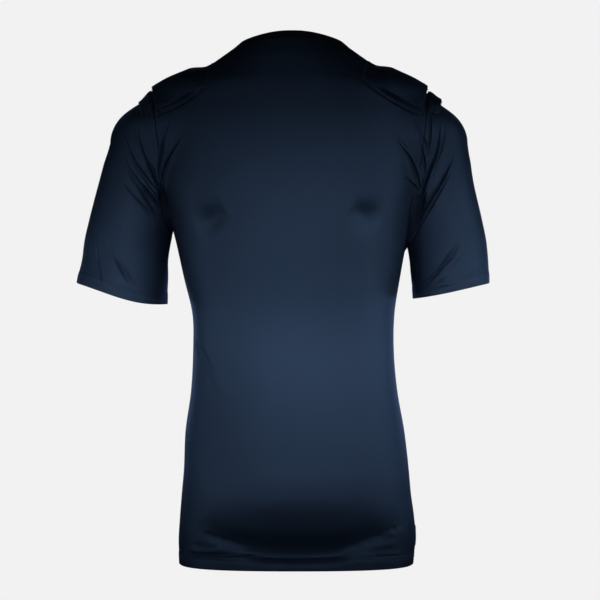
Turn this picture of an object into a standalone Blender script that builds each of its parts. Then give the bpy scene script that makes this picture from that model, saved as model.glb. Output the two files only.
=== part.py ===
"""Padded compression shirt, filled out as it is when worn. Metres, +Z up.

+Y is the way the wearer faces and +X is the wearer's right hand. The origin lies between
the shoulders, at the height where the shirt rests on them.

The cloth follows one smooth form: a torso and two arms, each given by sections, blended
where they meet. Every panel is a grid of points on that form, thickened outwards.
"""

import functools
import math

import bmesh
import bpy
import numpy as np

LEFT, RIGHT = -1, 1
BACK, FRONT = -1, 1
SIDE_NAME = {LEFT: "left", RIGHT: "right"}

# Cloth, seams and hems
WALL = 0.0015
SEAM_GAP = 0.0004
HEM_DEPTH = 0.016
HEM_EXTRA = 0.0007
HEM_STEP = 0.0012

# Neckband
BAND_HEIGHT = 0.0095
BAND_WALL = 0.0024
BAND_UPRIGHT = 0.10

# Pads: a stitched flange round a raised foam block
PAD_GAP = 0.0008
PAD_LENGTH = 0.150
PAD_WIDTH = 0.075
PAD_FLANGE = 0.0020
PAD_HEIGHT = 0.0075
PAD_CROWN = 0.0010
PAD_LOWER_EDGE = (0.0065, 0.0035)
PAD_NECK_EDGE = (0.0050, 0.0150)
PAD_ARM_EDGE = (0.0030, 0.0030)
PAD_CORNER = 0.22
PAD_TUCK = 0.16
PAD_BOW = 0.004
CAP_HEIGHT = 0.0060
CAP_EDGE = (0.0030, 0.0030)
CAP_START = 0.0015
CAP_WIDTH = 0.0225
CAP_LENGTH = 0.130
CAP_LOW_Z = -0.062
CAP_TUCK = 0.35

# How softly torso and arm run together, under the arm and over the shoulder
BLEND_UNDERARM = 0.003
BLEND_SHOULDER = 0.036
BLEND_HEIGHTS = (-0.200, -0.090)
SHOULDER_FLATNESS = 1.15
ARM_LEAN = 0.2

# Along the outside of a sleeve, from the shoulder seam to the cuff
SLEEVE_LENGTH = 0.29

# Heights of the shirt's edges
HEM_Z = -0.6715
HEM_BACK_DROP = -0.002
CHEST_Z = -0.226
SEAM_Y = 0.0

# Height inside the shoulders from which their upper side is found
CAST_Z = -0.060

# Neckline, as seen from above: half its width, its depth behind and in front, its fullness
NECK_HALF_WIDTH = 0.0765
NECK_DEPTH = {BACK: 0.0647, FRONT: 0.0800}
NECK_FULLNESS = {BACK: 1.9, FRONT: 2.2}

# Grid of the panels: columns in half a panel, rows below and above the underarm
COLUMNS_NECK = 6
COLUMNS = 15
COLUMNS_CLOSER = 0.60
ROWS_LOW = 19
ROWS_HIGH = 15
SLEEVE_ROWS = 16
SLEEVE_CLOSER = 0.45
PAD_COLUMNS = 9
PAD_ROWS = 22
CAP_COLUMNS = 18
CAP_ROWS = 6
FINE = 12

# Colours and roughness
CLOTH_COLOUR = (0.019, 0.038, 0.075)
CLOTH_ROUGHNESS = 0.55
BAND_COLOUR = (0.010, 0.018, 0.036)
BAND_ROUGHNESS = 0.75
PAD_COLOUR = (0.012, 0.022, 0.044)
PAD_ROUGHNESS = 0.65

# Edges that turn by more than this stay sharp in the shading
SHARP_DEGREES = 50

# How finely the form is followed before the grids' points are picked
ARC_POINTS = 91
QUARTER_POINTS = 61
NECK_POINTS = 40
SEAM_STEPS = 30
OUTSIDE_POINTS = 80
INSIDE_POINTS = 40
FOLD_STEPS = 8

# How points find the form: the step that its slope is taken over, the least slope, the
# longest single move, and the rounds for rough points, for near ones and in smoothing
PROBE = 0.0004
LEAST_SLOPE_SQUARED = 0.05
LONGEST_MOVE = 0.02
ROUNDS = 10
ROUNDS_NEAR = 4
ROUNDS_SMOOTH = 3
SMOOTHINGS = 6

# How rays find it: their length, their steps, and how often the last step is halved
RAY_LENGTH = 0.24
RAY_STEPS = 120
RAY_HALVINGS = 20

# Near the torso's middle its outline has no slope, so its distance is held to these
TORSO_LEAST_SLOPE = 2.0
TORSO_DEEPEST = -0.1

# Over this height the top of an arm leans into its round shoulder
LEAN_HEIGHT = 0.03

# The neckband's thickness at shares of its height
BAND_PROFILE = ((0.0, WALL), (0.25, BAND_WALL), (0.8, BAND_WALL), (1.0, 0.6 * BAND_WALL))

# The shape of a fold: how far its raised sides stand off, and how blunt its ends are
FOLD_RAISED = 0.9
FOLD_BLUNT = 3


class Table:
    """A short table with named columns, read by a smooth curve along its first column."""

    def __init__(self, columns, *rows):
        """Keeps the rows in the order of their first column."""
        self.columns = columns.split()
        self.rows = np.array(sorted(rows), float)

    def read(self, column, at):
        """The values of one column at places along the first."""
        x = self.rows[:, 0]
        y = self.rows[:, self.columns.index(column)]
        slope = np.gradient(y, x)
        at = np.clip(at, x[0], x[-1])
        i = np.clip(np.searchsorted(x, at) - 1, 0, len(x) - 2)
        span = x[i + 1] - x[i]
        t = (at - x[i]) / span
        return (
            y[i] * (1 + 2 * t) * (1 - t) ** 2
            + slope[i] * span * t * (1 - t) ** 2
            + y[i + 1] * t * t * (3 - 2 * t)
            + slope[i + 1] * span * t * t * (t - 1)
        )


# Sections of the torso, outside the cloth: half width at the sides, depth behind and in
# front of the side seam, the fullness of the section across and in depth, and the drift
# of its middle to the wearer's right.
TORSO = Table(
    "z half_width back front across deep shift",
    (-0.700, 0.1590, 0.092, 0.097, 2.5, 2.5, 0.006),
    (-0.664, 0.1610, 0.094, 0.098, 2.5, 2.5, 0.006),
    (-0.640, 0.1630, 0.095, 0.099, 2.5, 2.5, 0.007),
    (-0.610, 0.1612, 0.107, 0.101, 2.5, 2.5, 0.007),
    (-0.575, 0.1575, 0.119, 0.102, 2.4, 2.4, 0.006),
    (-0.545, 0.1548, 0.121, 0.102, 2.4, 2.4, 0.006),
    (-0.490, 0.1505, 0.111, 0.101, 2.4, 2.4, 0.004),
    (-0.435, 0.1420, 0.099, 0.099, 2.4, 2.4, 0.003),
    (-0.380, 0.1382, 0.093, 0.099, 2.4, 2.4, 0.002),
    (-0.330, 0.1390, 0.096, 0.102, 2.4, 2.4, 0.002),
    (-0.280, 0.1485, 0.105, 0.109, 2.4, 2.4, 0.000),
    (-0.228, 0.1590, 0.115, 0.116, 2.4, 2.5, -0.001),
    (-0.163, 0.1745, 0.120, 0.118, 2.5, 2.5, -0.003),
    (-0.110, 0.1820, 0.116, 0.108, 2.4, 2.3, -0.004),
    (-0.065, 0.1860, 0.106, 0.090, 2.3, 1.9, -0.004),
    (-0.040, 0.1880, 0.098, 0.078, 2.2, 1.6, -0.003),
    (-0.027, 0.1860, 0.094, 0.071, 2.2, 1.5, -0.002),
    (-0.015, 0.1700, 0.090, 0.066, 2.2, 1.5, -0.002),
    (-0.005, 0.1465, 0.086, 0.062, 2.2, 1.5, -0.001),
    (0.0050, 0.1250, 0.082, 0.058, 2.2, 1.6, 0.000),
    (0.0200, 0.1025, 0.077, 0.053, 2.1, 1.7, 0.000),
    (0.0345, 0.0815, 0.070, 0.049, 2.0, 1.9, 0.000),
    (0.0480, 0.0630, 0.064, 0.046, 2.0, 2.0, 0.000),
    (0.0700, 0.0500, 0.058, 0.045, 2.0, 2.0, 0.000),
)

# Sections of each arm, outside the cloth: the middle and the radius of the round section.
# x is away from the wearer's middle.
ARMS = {
    LEFT: Table(
        "z x y radius",
        (-0.340, 0.2365, 0.006, 0.0620),
        (-0.300, 0.2355, 0.005, 0.0620),
        (-0.280, 0.2335, 0.004, 0.0610),
        (-0.255, 0.2305, 0.003, 0.0582),
        (-0.228, 0.2265, 0.002, 0.0585),
        (-0.200, 0.2195, 0.001, 0.0590),
        (-0.145, 0.2030, 0.000, 0.0610),
        (-0.095, 0.1850, 0.000, 0.0655),
    ),
    RIGHT: Table(
        "z x y radius",
        (-0.340, 0.2205, 0.006, 0.0505),
        (-0.300, 0.2195, 0.005, 0.0515),
        (-0.275, 0.2180, 0.004, 0.0528),
        (-0.255, 0.2165, 0.003, 0.0532),
        (-0.228, 0.2125, 0.002, 0.0543),
        (-0.200, 0.2050, 0.001, 0.0560),
        (-0.145, 0.1895, 0.000, 0.0590),
        (-0.095, 0.1770, 0.000, 0.0650),
    ),
}

# The armhole seam of each side lies in a plane through a shoulder point and the underarm;
# the cuff lies in one through its outer and its inner point.
SEAMS = {
    LEFT: {
        "shoulder": (0.190, -0.026),
        "underarm": (0.163, -0.217),
        "cuff_out": (0.297, -0.287),
        "cuff_in": (0.173, -0.3158),
    },
    RIGHT: {
        "shoulder": (0.185, -0.026),
        "underarm": (0.160, -0.236),
        "cuff_out": (0.2725, -0.287),
        "cuff_in": (0.1680, -0.308),
    },
}
# How far the back of each cuff hangs below the plane of its edge
CUFF_DROP = {LEFT: 0.005, RIGHT: 0.001}

# Each shoulder pad's ends on the shoulder seam, and its lower corners as x and z
PADS = {
    LEFT: {"inner_x": 0.106, "outer_x": 0.187, "low_in": (0.112, -0.027), "low_out": (0.182, -0.066)},
    RIGHT: {"inner_x": 0.106, "outer_x": 0.182, "low_in": (0.093, -0.019), "low_out": (0.173, -0.065)},
}

# Folds pressed into the cloth where it is pulled or spare: both ends as x and z on one face,
# the sideways bow of the line between them, and the depth and half width of the trough.
FOLDS = Table(
    "x0 z0 x1 z1 face bow depth width",
    (-0.2120, -0.0700, -0.1825, -0.1480, BACK, 0.006, 0.0034, 0.0095),
    (-0.2350, -0.0980, -0.1830, -0.1820, BACK, 0.008, 0.0038, 0.0100),
    (-0.1380, -0.0930, -0.1720, -0.1500, BACK, -0.005, 0.0030, 0.0100),
    (-0.1328, -0.3544, -0.0925, -0.4350, BACK, 0.004, 0.0024, 0.0160),
    (-0.1420, -0.1650, -0.0900, -0.2250, BACK, -0.006, 0.0024, 0.0240),
    (-0.1400, -0.6120, -0.0600, -0.6320, BACK, -0.003, 0.0030, 0.0120),
    (-0.2484, -0.2300, -0.2175, -0.2939, BACK, 0.003, 0.0028, 0.0110),
    (0.2020, -0.0700, 0.1800, -0.1500, BACK, -0.006, 0.0034, 0.0095),
    (0.2250, -0.1051, 0.1770, -0.2000, BACK, -0.006, 0.0038, 0.0100),
    (0.1400, -0.0980, 0.1700, -0.1560, BACK, 0.005, 0.0030, 0.0100),
    (0.1380, -0.1650, 0.0860, -0.2250, BACK, 0.006, 0.0024, 0.0240),
    (0.1520, -0.6084, 0.0800, -0.6310, BACK, 0.003, 0.0028, 0.0120),
    (0.2261, -0.2294, 0.1900, -0.2898, BACK, -0.003, 0.0030, 0.0110),
    (-0.2160, -0.0800, -0.1830, -0.1560, FRONT, 0.006, 0.0034, 0.0095),
    (-0.2330, -0.1300, -0.1810, -0.2000, FRONT, 0.006, 0.0034, 0.0100),
    (-0.1350, -0.1050, -0.1700, -0.1600, FRONT, -0.005, 0.0030, 0.0100),
    (-0.1350, -0.6080, -0.0550, -0.6310, FRONT, -0.003, 0.0028, 0.0120),
    (0.2060, -0.0780, 0.1790, -0.1520, FRONT, -0.006, 0.0034, 0.0095),
    (0.2200, -0.1340, 0.1760, -0.2080, FRONT, -0.006, 0.0034, 0.0100),
    (0.1330, -0.1020, 0.1680, -0.1620, FRONT, 0.005, 0.0030, 0.0100),
    (0.1380, -0.6060, 0.0650, -0.6300, FRONT, 0.003, 0.0028, 0.0120),
    (0.1200, -0.3560, 0.0600, -0.4000, FRONT, 0.004, 0.0024, 0.0160),
)


def soft_step(at, low, high):
    """0 up to low, 1 from high on, and smooth between them."""
    t = np.clip((at - low) / (high - low), 0.0, 1.0)
    return t * t * (3 - 2 * t)


def torso_distance(x, y, z):
    """About how far a point lies outside the torso's outline."""
    dx = np.abs(x - TORSO.read("shift", z)) / TORSO.read("half_width", z)
    depth = np.where(y < SEAM_Y, TORSO.read("back", z), TORSO.read("front", z))
    dy = np.abs(y - SEAM_Y) / depth
    across, deep = TORSO.read("across", z), TORSO.read("deep", z)
    over = dx**across + dy**deep - 1
    slope_x = across * dx ** (across - 1) / TORSO.read("half_width", z)
    slope_y = deep * dy ** (deep - 1) / depth
    return np.maximum(over / np.maximum(np.hypot(slope_x, slope_y), TORSO_LEAST_SLOPE), TORSO_DEEPEST)


def arm_distance(x, y, z, side):
    """How far a point lies outside an arm's outline, which ends above in a round shoulder."""
    arm = ARMS[side]
    top = arm.rows[-1, 0]
    level = np.minimum(z, top)
    middle_x = side * arm.read("x", level)
    lean = np.cos(ARM_LEAN * soft_step(top - level, 0.0, LEAN_HEIGHT))
    flat = np.hypot((x - middle_x) * lean, y - arm.read("y", level))
    return np.hypot(flat, (z - level) * SHOULDER_FLATNESS) - arm.read("radius", level)


def soft_min(a, b, reach):
    """The lesser of two distances, rounded where they are within reach of each other."""
    h = np.clip(0.5 + 0.5 * (b - a) / reach, 0.0, 1.0)
    return b * (1 - h) + a * h - reach * h * (1 - h)


def field(points):
    """About how far points lie outside the inner face of the cloth."""
    x, y, z = points[..., 0], points[..., 1], points[..., 2]
    over = soft_step(z, *BLEND_HEIGHTS)
    reach = BLEND_UNDERARM + (BLEND_SHOULDER - BLEND_UNDERARM) * over
    both = soft_min(torso_distance(x, y, z), arm_distance(x, y, z, LEFT), reach)
    return soft_min(both, arm_distance(x, y, z, RIGHT), reach) + WALL


def slope_of(points):
    """The gradient of the field."""
    parts = []
    for axis in range(3):
        move = np.zeros(3)
        move[axis] = PROBE
        parts.append((field(points + move) - field(points - move)) / (2 * PROBE))
    return np.stack(parts, axis=-1)


def unit(vectors):
    """Vectors brought to length 1."""
    return vectors / np.maximum(np.linalg.norm(vectors, axis=-1, keepdims=True), 1e-12)


def settled(points, level=False, rounds=ROUNDS):
    """Points moved onto the form, and kept at their height where level is set."""
    for _ in range(rounds):
        slope = slope_of(points)
        if level:
            slope[..., 2] = 0
        square = np.maximum((slope**2).sum(-1), LEAST_SLOPE_SQUARED)
        move = np.clip(field(points) / square, -LONGEST_MOVE, LONGEST_MOVE)
        points = points - move[..., None] * slope
    return points


def cast(origin, direction):
    """Where rays from inside the form first leave it."""
    direction = unit(np.asarray(direction, float))
    origin = np.broadcast_to(np.asarray(origin, float), direction.shape)
    travel = RAY_LENGTH * even(RAY_STEPS)
    points = origin[:, None, :] + travel[None, :, None] * direction[:, None, :]
    first = np.maximum((field(points) > 0).argmax(axis=1), 1)
    low, high = travel[first - 1], travel[first]
    for _ in range(RAY_HALVINGS):
        half = (low + high) / 2
        outside = field(origin + half[:, None] * direction) > 0
        low, high = np.where(outside, low, half), np.where(outside, half, high)
    return origin + low[:, None] * direction


def spaced(points, shares):
    """Points along a line of points, at shares of its length."""
    lengths = np.linalg.norm(np.diff(points, axis=0), axis=1)
    along = np.concatenate([[0.0], np.cumsum(lengths)]) / lengths.sum()
    return np.stack([np.interp(shares, along, points[:, i]) for i in range(3)], axis=-1)


def even(count):
    """Shares from 0 to 1 in count equal steps."""
    return np.linspace(0.0, 1.0, count + 1)


def seam_point(side, name):
    """One of a side's seam points in space."""
    x, z = SEAMS[side][name]
    return np.array([side * x, 0.0, z])


@functools.cache
def armhole(side, facing):
    """Half the armhole seam, from the underarm over one face of the body to the shoulder."""
    top, bottom = seam_point(side, "shoulder"), seam_point(side, "underarm")
    up = unit(top - bottom)
    middle = (top + bottom) / 2
    angles = np.radians(np.linspace(0, 180, ARC_POINTS))
    out = np.array([0.0, facing, 0.0])
    rays = -np.cos(angles)[:, None] * up + np.sin(angles)[:, None] * out
    return spaced(cast(middle, rays), even(ROWS_HIGH))


@functools.cache
def neck_line(side, facing):
    """A quarter of the neckline, from the middle of the back or front to the side."""
    angles = np.radians(np.linspace(0, 90, NECK_POINTS))
    fullness = NECK_FULLNESS[facing]
    x = side * NECK_HALF_WIDTH * np.sin(angles) ** (2 / fullness)
    y = facing * NECK_DEPTH[facing] * np.abs(np.cos(angles)) ** (2 / fullness)
    y[-1] = SEAM_Y
    starts = np.stack([x, y, np.full_like(x, CAST_Z)], axis=-1)
    return cast(starts, np.tile([0.0, 0.0, 1.0], (NECK_POINTS, 1)))


@functools.cache
def shoulder_line(side):
    """The shoulder seam, from the neck to the top of the armhole."""
    start = neck_line(side, BACK)[-1]
    end = armhole(side, BACK)[-1]
    line = start + even(SEAM_STEPS)[:, None] * (end - start)
    line[1:-1, 2] = CAST_Z
    line[1:-1] = cast(line[1:-1], np.tile([0.0, 0.0, 1.0], (SEAM_STEPS - 1, 1)))
    return line


def closer(shares, amount):
    """Shares drawn together towards 1 by an amount from 0 to 1."""
    return shares + amount * np.sin(math.pi * shares) / math.pi


def column_shares():
    """Shares across half a panel, closer together towards the armhole and side seam."""
    return closer(even(COLUMNS), COLUMNS_CLOSER)


def row_shares():
    """Shares from the hem to the underarm: the turned hem's rows, then even ones."""
    length = CHEST_Z - HEM_Z
    start = (HEM_DEPTH + HEM_STEP) / length
    rest = start + (1 - start) * even(ROWS_LOW - 3)
    return np.concatenate([[0.0, HEM_DEPTH / 2 / length, HEM_DEPTH / length], rest])


def low_rows(side, facing):
    """The rows of half a panel up to the underarm, from the middle to the side seam."""
    shares = row_shares()[:, None]
    angles = np.radians(np.linspace(0, 90, QUARTER_POINTS))[None, :]
    drop = HEM_BACK_DROP * np.cos(angles) ** 2 * (facing == BACK)
    top = CHEST_Z + (seam_point(side, "underarm")[2] - CHEST_Z) * np.sin(angles) ** 4
    z = (HEM_Z - drop) * (1 - shares) + top * shares
    across, deep = TORSO.read("across", z), TORSO.read("deep", z)
    depth = TORSO.read("back" if facing == BACK else "front", z)
    x = TORSO.read("shift", z) + side * TORSO.read("half_width", z) * np.sin(angles) ** (2 / across)
    y = SEAM_Y + facing * depth * np.abs(np.cos(angles)) ** (2 / deep)
    points = settled(np.stack([x, y, z], axis=-1), level=True)
    points[:, -1, 1] = SEAM_Y
    return np.stack([spaced(row, column_shares()) for row in points])


def upper_patch(side, facing, low_row):
    """Half a panel from the underarm to the neck and shoulder, inside its four edges."""
    rows, columns = even(ROWS_HIGH), column_shares()
    edge = armhole(side, facing)
    neck = spaced(neck_line(side, facing), even(COLUMNS_NECK))
    shoulder = spaced(shoulder_line(side), even(COLUMNS - COLUMNS_NECK))
    top = np.concatenate([neck, shoulder[1:]])
    bottom = low_row.copy()
    bottom[-1] = edge[0]
    middle = bottom[0] + rows[:, None] * (top[0] - bottom[0])
    middle = settled(middle, level=True)
    middle = spaced(middle, rows)
    u, v = columns[None, :, None], rows[:, None, None]
    corners = (
        (1 - u) * (1 - v) * bottom[0]
        + u * (1 - v) * bottom[-1]
        + (1 - u) * v * top[0]
        + u * v * top[-1]
    )
    patch = (
        (1 - v) * bottom[None] + v * top[None] + (1 - u) * middle[:, None] + u * edge[:, None] - corners
    )
    patch[1:-1, 1:-1] = settled(patch[1:-1, 1:-1])
    for _ in range(SMOOTHINGS):
        near = (patch[:-2, 1:-1] + patch[2:, 1:-1] + patch[1:-1, :-2] + patch[1:-1, 2:]) / 4
        patch[1:-1, 1:-1] = settled((patch[1:-1, 1:-1] + near) / 2, rounds=ROUNDS_SMOOTH)
    return patch


def half_panel(side, facing):
    """All the rows of half a panel, from the middle to the side seam and armhole."""
    low = low_rows(side, facing)
    high = upper_patch(side, facing, low[-1])
    return np.concatenate([low[:-1], high])


@functools.cache
def outer_line(side):
    """The line down the outside of a sleeve, from the shoulder seam to the cuff."""
    top, bottom = seam_point(side, "shoulder"), seam_point(side, "underarm")
    middle = (top + bottom) / 2
    start = math.atan2(side * (top - middle)[0], (top - middle)[2])
    angles = np.linspace(start, math.pi / 2, OUTSIDE_POINTS)
    zero = np.zeros_like(angles)
    dome = cast(middle, np.stack([side * np.sin(angles), zero, np.cos(angles)], axis=-1))
    heights = np.linspace(middle[2], seam_point(side, "cuff_out")[2], OUTSIDE_POINTS)[1:]
    arm = ARMS[side]
    origins = np.stack([side * arm.read("x", heights), arm.read("y", heights), heights], axis=-1)
    flank = cast(origins, np.tile([float(side), 0.0, 0.0], (OUTSIDE_POINTS - 1, 1)))
    return np.concatenate([dome, flank])


@functools.cache
def inner_line(side):
    """The line down the inside of a sleeve, from the underarm to the cuff."""
    ends = seam_point(side, "underarm")[2], seam_point(side, "cuff_in")[2]
    heights = np.linspace(*ends, INSIDE_POINTS)
    arm = ARMS[side]
    origins = np.stack([side * arm.read("x", heights), arm.read("y", heights), heights], axis=-1)
    line = cast(origins, np.tile([-float(side), 0.0, 0.0], (INSIDE_POINTS, 1)))
    line[0] = armhole(side, BACK)[0]
    return line


def sleeve_rows():
    """Shares down a sleeve: rows closer at the shoulder, and the turned cuff's own rows."""
    length = SLEEVE_LENGTH
    cuff = (HEM_DEPTH + HEM_STEP) / length
    body = (1 - closer(1 - even(SLEEVE_ROWS - 2), SLEEVE_CLOSER)) * (1 - cuff)
    return np.concatenate([body, [1 - HEM_DEPTH / length, 1.0]])


@functools.cache
def sleeve_line(side, share, facing):
    """Half of one ring of a sleeve, from its inner side over one face to its outer side."""
    low = spaced(inner_line(side), np.array([share]))[0]
    high = spaced(outer_line(side), np.array([share]))[0]
    up = unit(high - low)
    angles = np.radians(np.linspace(0, 180, ARC_POINTS))
    out = np.array([0.0, facing, 0.0])
    rays = -np.cos(angles)[:, None] * up + np.sin(angles)[:, None] * out
    line = cast((low + high) / 2, rays)
    if facing == BACK:
        line[:, 2] -= CUFF_DROP[side] * share**6 * np.sin(angles) ** 2 * (1 + np.cos(angles))
    return line


def sleeve_grid(side):
    """The rings of a sleeve, each from the inner side over the back and round the front."""
    first = np.concatenate([armhole(side, BACK), armhole(side, FRONT)[-2:0:-1]])
    rings = [first]
    for share in sleeve_rows()[1:]:
        back = spaced(sleeve_line(side, share, BACK), even(ROWS_HIGH))
        front = spaced(sleeve_line(side, share, FRONT), even(ROWS_HIGH))
        rings.append(np.concatenate([back, front[-2:0:-1]]))
    return np.stack(rings)


def edged_shares(length, first, last, count):
    """Shares along a pad: its edge, the foam's foot and shoulder, even ones, and the same again.

    first and last are the widths of the flange and of the ramp beside it, at the two ends.
    """
    low, high = sum(first) / length, 1 - sum(last) / length
    between = low + (high - low) * even(count - 5)
    return np.concatenate([[0.0, first[0] / length], between, [1 - last[0] / length, 1.0]])


def tucked(u, ends, corner, tuck):
    """Shares across a pad, drawn in near its two ends to round its corners."""
    over = np.clip((ends - (1 - corner)) / corner, 0.0, 1.0)
    return 0.5 + (u - 0.5) * (1 - tuck * (1 - np.sqrt(1 - over**2)))


def shoulder_pad_grid(side):
    """Points under a shoulder pad, from its front lower edge over the shoulder to the back."""
    pad = PADS[side]
    v_shares = edged_shares(PAD_LENGTH, PAD_LOWER_EDGE, PAD_LOWER_EDGE, PAD_ROWS)
    u_shares = edged_shares(PAD_WIDTH, PAD_NECK_EDGE, PAD_ARM_EDGE, PAD_COLUMNS)
    ends = np.abs(2 * v_shares - 1)
    lines = []
    for u in even(FINE):
        halves = []
        top = np.array([side * (pad["inner_x"] * (1 - u) + pad["outer_x"] * u), 0.0, CAST_Z])
        ridge = cast(top, np.array([[0.0, 0.0, 1.0]]))[0]
        centre = ridge + np.array([0.0, 0.0, CAST_Z])
        for facing in (FRONT, BACK):
            x, z = np.array(pad["low_in"]) * (1 - u) + np.array(pad["low_out"]) * u
            z -= PAD_BOW * math.sin(math.pi * u)
            start = np.array([side * x, 0.0, z])
            low = cast(start, np.array([[0.0, float(facing), 0.0]]))[0]
            share = even(2 * FINE)[:, None]
            rays = (1 - share) * unit(ridge - centre) + share * unit(low - centre)
            halves.append(cast(centre, rays))
        lines.append(spaced(np.concatenate([halves[0][::-1], halves[1][1:]]), v_shares))
    lines = np.stack(lines)
    grid = np.empty((len(v_shares), len(u_shares), 3))
    for row in range(len(v_shares)):
        shares = tucked(u_shares, ends[row], PAD_CORNER, PAD_TUCK)
        grid[row] = np.stack([np.interp(shares, even(FINE), lines[:, row, i]) for i in range(3)], axis=-1)
    return settled(grid, rounds=ROUNDS_NEAR)


def cap_pad_grid(side):
    """Points under a sleeve-cap pad, from its front tip over the sleeve head to the back."""
    v_shares = edged_shares(CAP_LENGTH, CAP_EDGE, CAP_EDGE, CAP_COLUMNS)
    u_shares = edged_shares(CAP_WIDTH, CAP_EDGE, CAP_EDGE, CAP_ROWS)
    lines = []
    for u in even(FINE):
        share = (CAP_START + CAP_WIDTH * u) / SLEEVE_LENGTH
        halves = []
        for facing in (FRONT, BACK):
            line = sleeve_line(side, share, facing)
            first = int(np.argmax(line[:, 2] > CAP_LOW_Z))
            halves.append(line[first:])
        lines.append(spaced(np.concatenate([halves[0], halves[1][-2::-1]]), v_shares))
    lines = np.stack(lines)
    grid = np.empty((len(v_shares), len(u_shares), 3))
    for row in range(len(v_shares)):
        shares = tucked(u_shares, abs(2 * v_shares[row] - 1), PAD_CORNER, CAP_TUCK)
        grid[row] = np.stack([np.interp(shares, even(FINE), lines[:, row, i]) for i in range(3)], axis=-1)
    return settled(grid, rounds=ROUNDS_NEAR)


@functools.cache
def fold_lines():
    """The middle line of each fold, laid on the form."""
    lines = []
    for x0, z0, x1, z1, face, bow, depth, width in FOLDS.rows:
        share = even(FOLD_STEPS)
        aside = unit(np.array([z1 - z0, x0 - x1])) * bow
        swing = np.sin(math.pi * share)
        x = x0 + (x1 - x0) * share + aside[0] * swing
        z = z0 + (z1 - z0) * share + aside[1] * swing
        starts = np.stack([x, np.zeros_like(x), z], axis=-1)
        lines.append((cast(starts, np.tile([0.0, face, 0.0], (len(x), 1))), depth, width))
    return lines


def fold_depth(points):
    """How far the folds press the cloth in at each point, less than 0 on their raised sides."""
    flat = points.reshape(-1, 3)
    total = np.zeros(len(flat))
    for line, depth, width in fold_lines():
        start, step = line[:-1], np.diff(line, axis=0)
        reach = flat[:, None, :] - start[None]
        share = np.clip((reach * step).sum(-1) / (step**2).sum(-1), 0.0, 1.0)
        gap = np.linalg.norm(reach - share[..., None] * step, axis=-1)
        nearest = gap.argmin(axis=1)
        rows = np.arange(len(flat))
        away = gap[rows, nearest] / width
        along = (nearest + share[rows, nearest]) / len(step)
        taper = 1 - np.abs(2 * along - 1) ** FOLD_BLUNT
        total += depth * taper * (1 - (away / FOLD_RAISED) ** 2) * np.exp(-(away**2))
    return total.reshape(points.shape[:-1])


def material(name, colour, roughness):
    """A plain material with one colour and roughness."""
    made = bpy.data.materials.new(name)
    made.use_nodes = True
    shader = made.node_tree.nodes["Principled BSDF"]
    shader.inputs["Base Color"].default_value = (*colour, 1.0)
    shader.inputs["Roughness"].default_value = roughness
    shader.inputs["Metallic"].default_value = 0.0
    return made


def wall(name, inner, outer, finish, closed=False):
    """A solid between two grids of points; closed joins its last column to its first."""
    rows, columns = inner.shape[:2]
    across = columns if closed else columns - 1
    mesh = bmesh.new()
    sheets = [
        [[mesh.verts.new(point) for point in row] for row in sheet] for sheet in (inner, outer)
    ]
    after = np.roll(inner, -1, axis=1)
    rising = np.abs(field((inner[:-1] + after[1:]) / 2))
    falling = np.abs(field((after[:-1] + inner[1:]) / 2))
    for sheet, turned in zip(sheets, (True, False)):
        for r in range(rows - 1):
            for c in range(across):
                d = (c + 1) % columns
                corners = [sheet[r][c], sheet[r][d], sheet[r + 1][d], sheet[r + 1][c]]
                if falling[r, c] < rising[r, c]:
                    corners = corners[1:] + corners[:1]
                if turned:
                    corners = [corners[0], corners[3], corners[2], corners[1]]
                mesh.faces.new(corners[:3])
                mesh.faces.new((corners[0], corners[2], corners[3]))
    low, high = sheets
    for c in range(across):
        d = (c + 1) % columns
        mesh.faces.new((low[0][c], low[0][d], high[0][d], high[0][c]))
        mesh.faces.new((low[-1][d], low[-1][c], high[-1][c], high[-1][d]))
    if not closed:
        for r in range(rows - 1):
            mesh.faces.new((low[r + 1][0], low[r][0], high[r][0], high[r + 1][0]))
            mesh.faces.new((low[r][-1], low[r + 1][-1], high[r + 1][-1], high[r][-1]))
    if mesh.calc_volume(signed=True) < 0:
        bmesh.ops.reverse_faces(mesh, faces=mesh.faces)
    data = bpy.data.meshes.new(name)
    mesh.to_mesh(data)
    mesh.free()
    data.shade_smooth()
    data.set_sharp_from_angle(angle=math.radians(SHARP_DEGREES))
    data.materials.append(finish)
    made = bpy.data.objects.new(name, data)
    bpy.context.scene.collection.objects.link(made)
    return made


def armhole_normal(side):
    """The direction across an armhole seam, away from the body."""
    up = unit(seam_point(side, "shoulder") - seam_point(side, "underarm"))
    return side * np.array([up[2], 0.0, -up[0]])


def make_panel(facing, finish):
    """The back or the front, in one piece from side seam to side seam."""
    left, right = half_panel(LEFT, facing), half_panel(RIGHT, facing)
    base = np.concatenate([left[:, :0:-1], right], axis=1)
    normal = unit(slope_of(base))
    base -= normal * fold_depth(base)[..., None]
    thick = np.full(base.shape[:2], WALL)
    thick[:3] += HEM_EXTRA
    gap = SEAM_GAP / 2
    edge = len(left) - ROWS_HIGH - 1
    for column, side in ((0, LEFT), (-1, RIGHT)):
        base[:edge, column, 1] += facing * gap
        base[edge:, column] -= armhole_normal(side) * gap
    shoulder = COLUMNS - COLUMNS_NECK
    base[-1, :shoulder, 1] += facing * gap
    base[-1, -shoulder:, 1] += facing * gap
    neck = slice(shoulder, base.shape[1] - shoulder)
    base[-1, neck] += unit(base[-2, neck] - base[-1, neck]) * gap
    outer = base + normal * thick[..., None]
    return wall("back_panel" if facing == BACK else "front_panel", base, outer, finish)


def make_sleeve(side, finish):
    """One sleeve, closed round the arm, with its turned cuff."""
    base = sleeve_grid(side)
    normal = unit(slope_of(base))
    base -= normal * fold_depth(base)[..., None]
    thick = np.full(base.shape[:2], WALL)
    thick[-2:] += HEM_EXTRA
    base[0] += armhole_normal(side) * SEAM_GAP / 2
    outer = base + normal * thick[..., None]
    return wall("sleeve_" + SIDE_NAME[side], base, outer, finish, closed=True)


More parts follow.
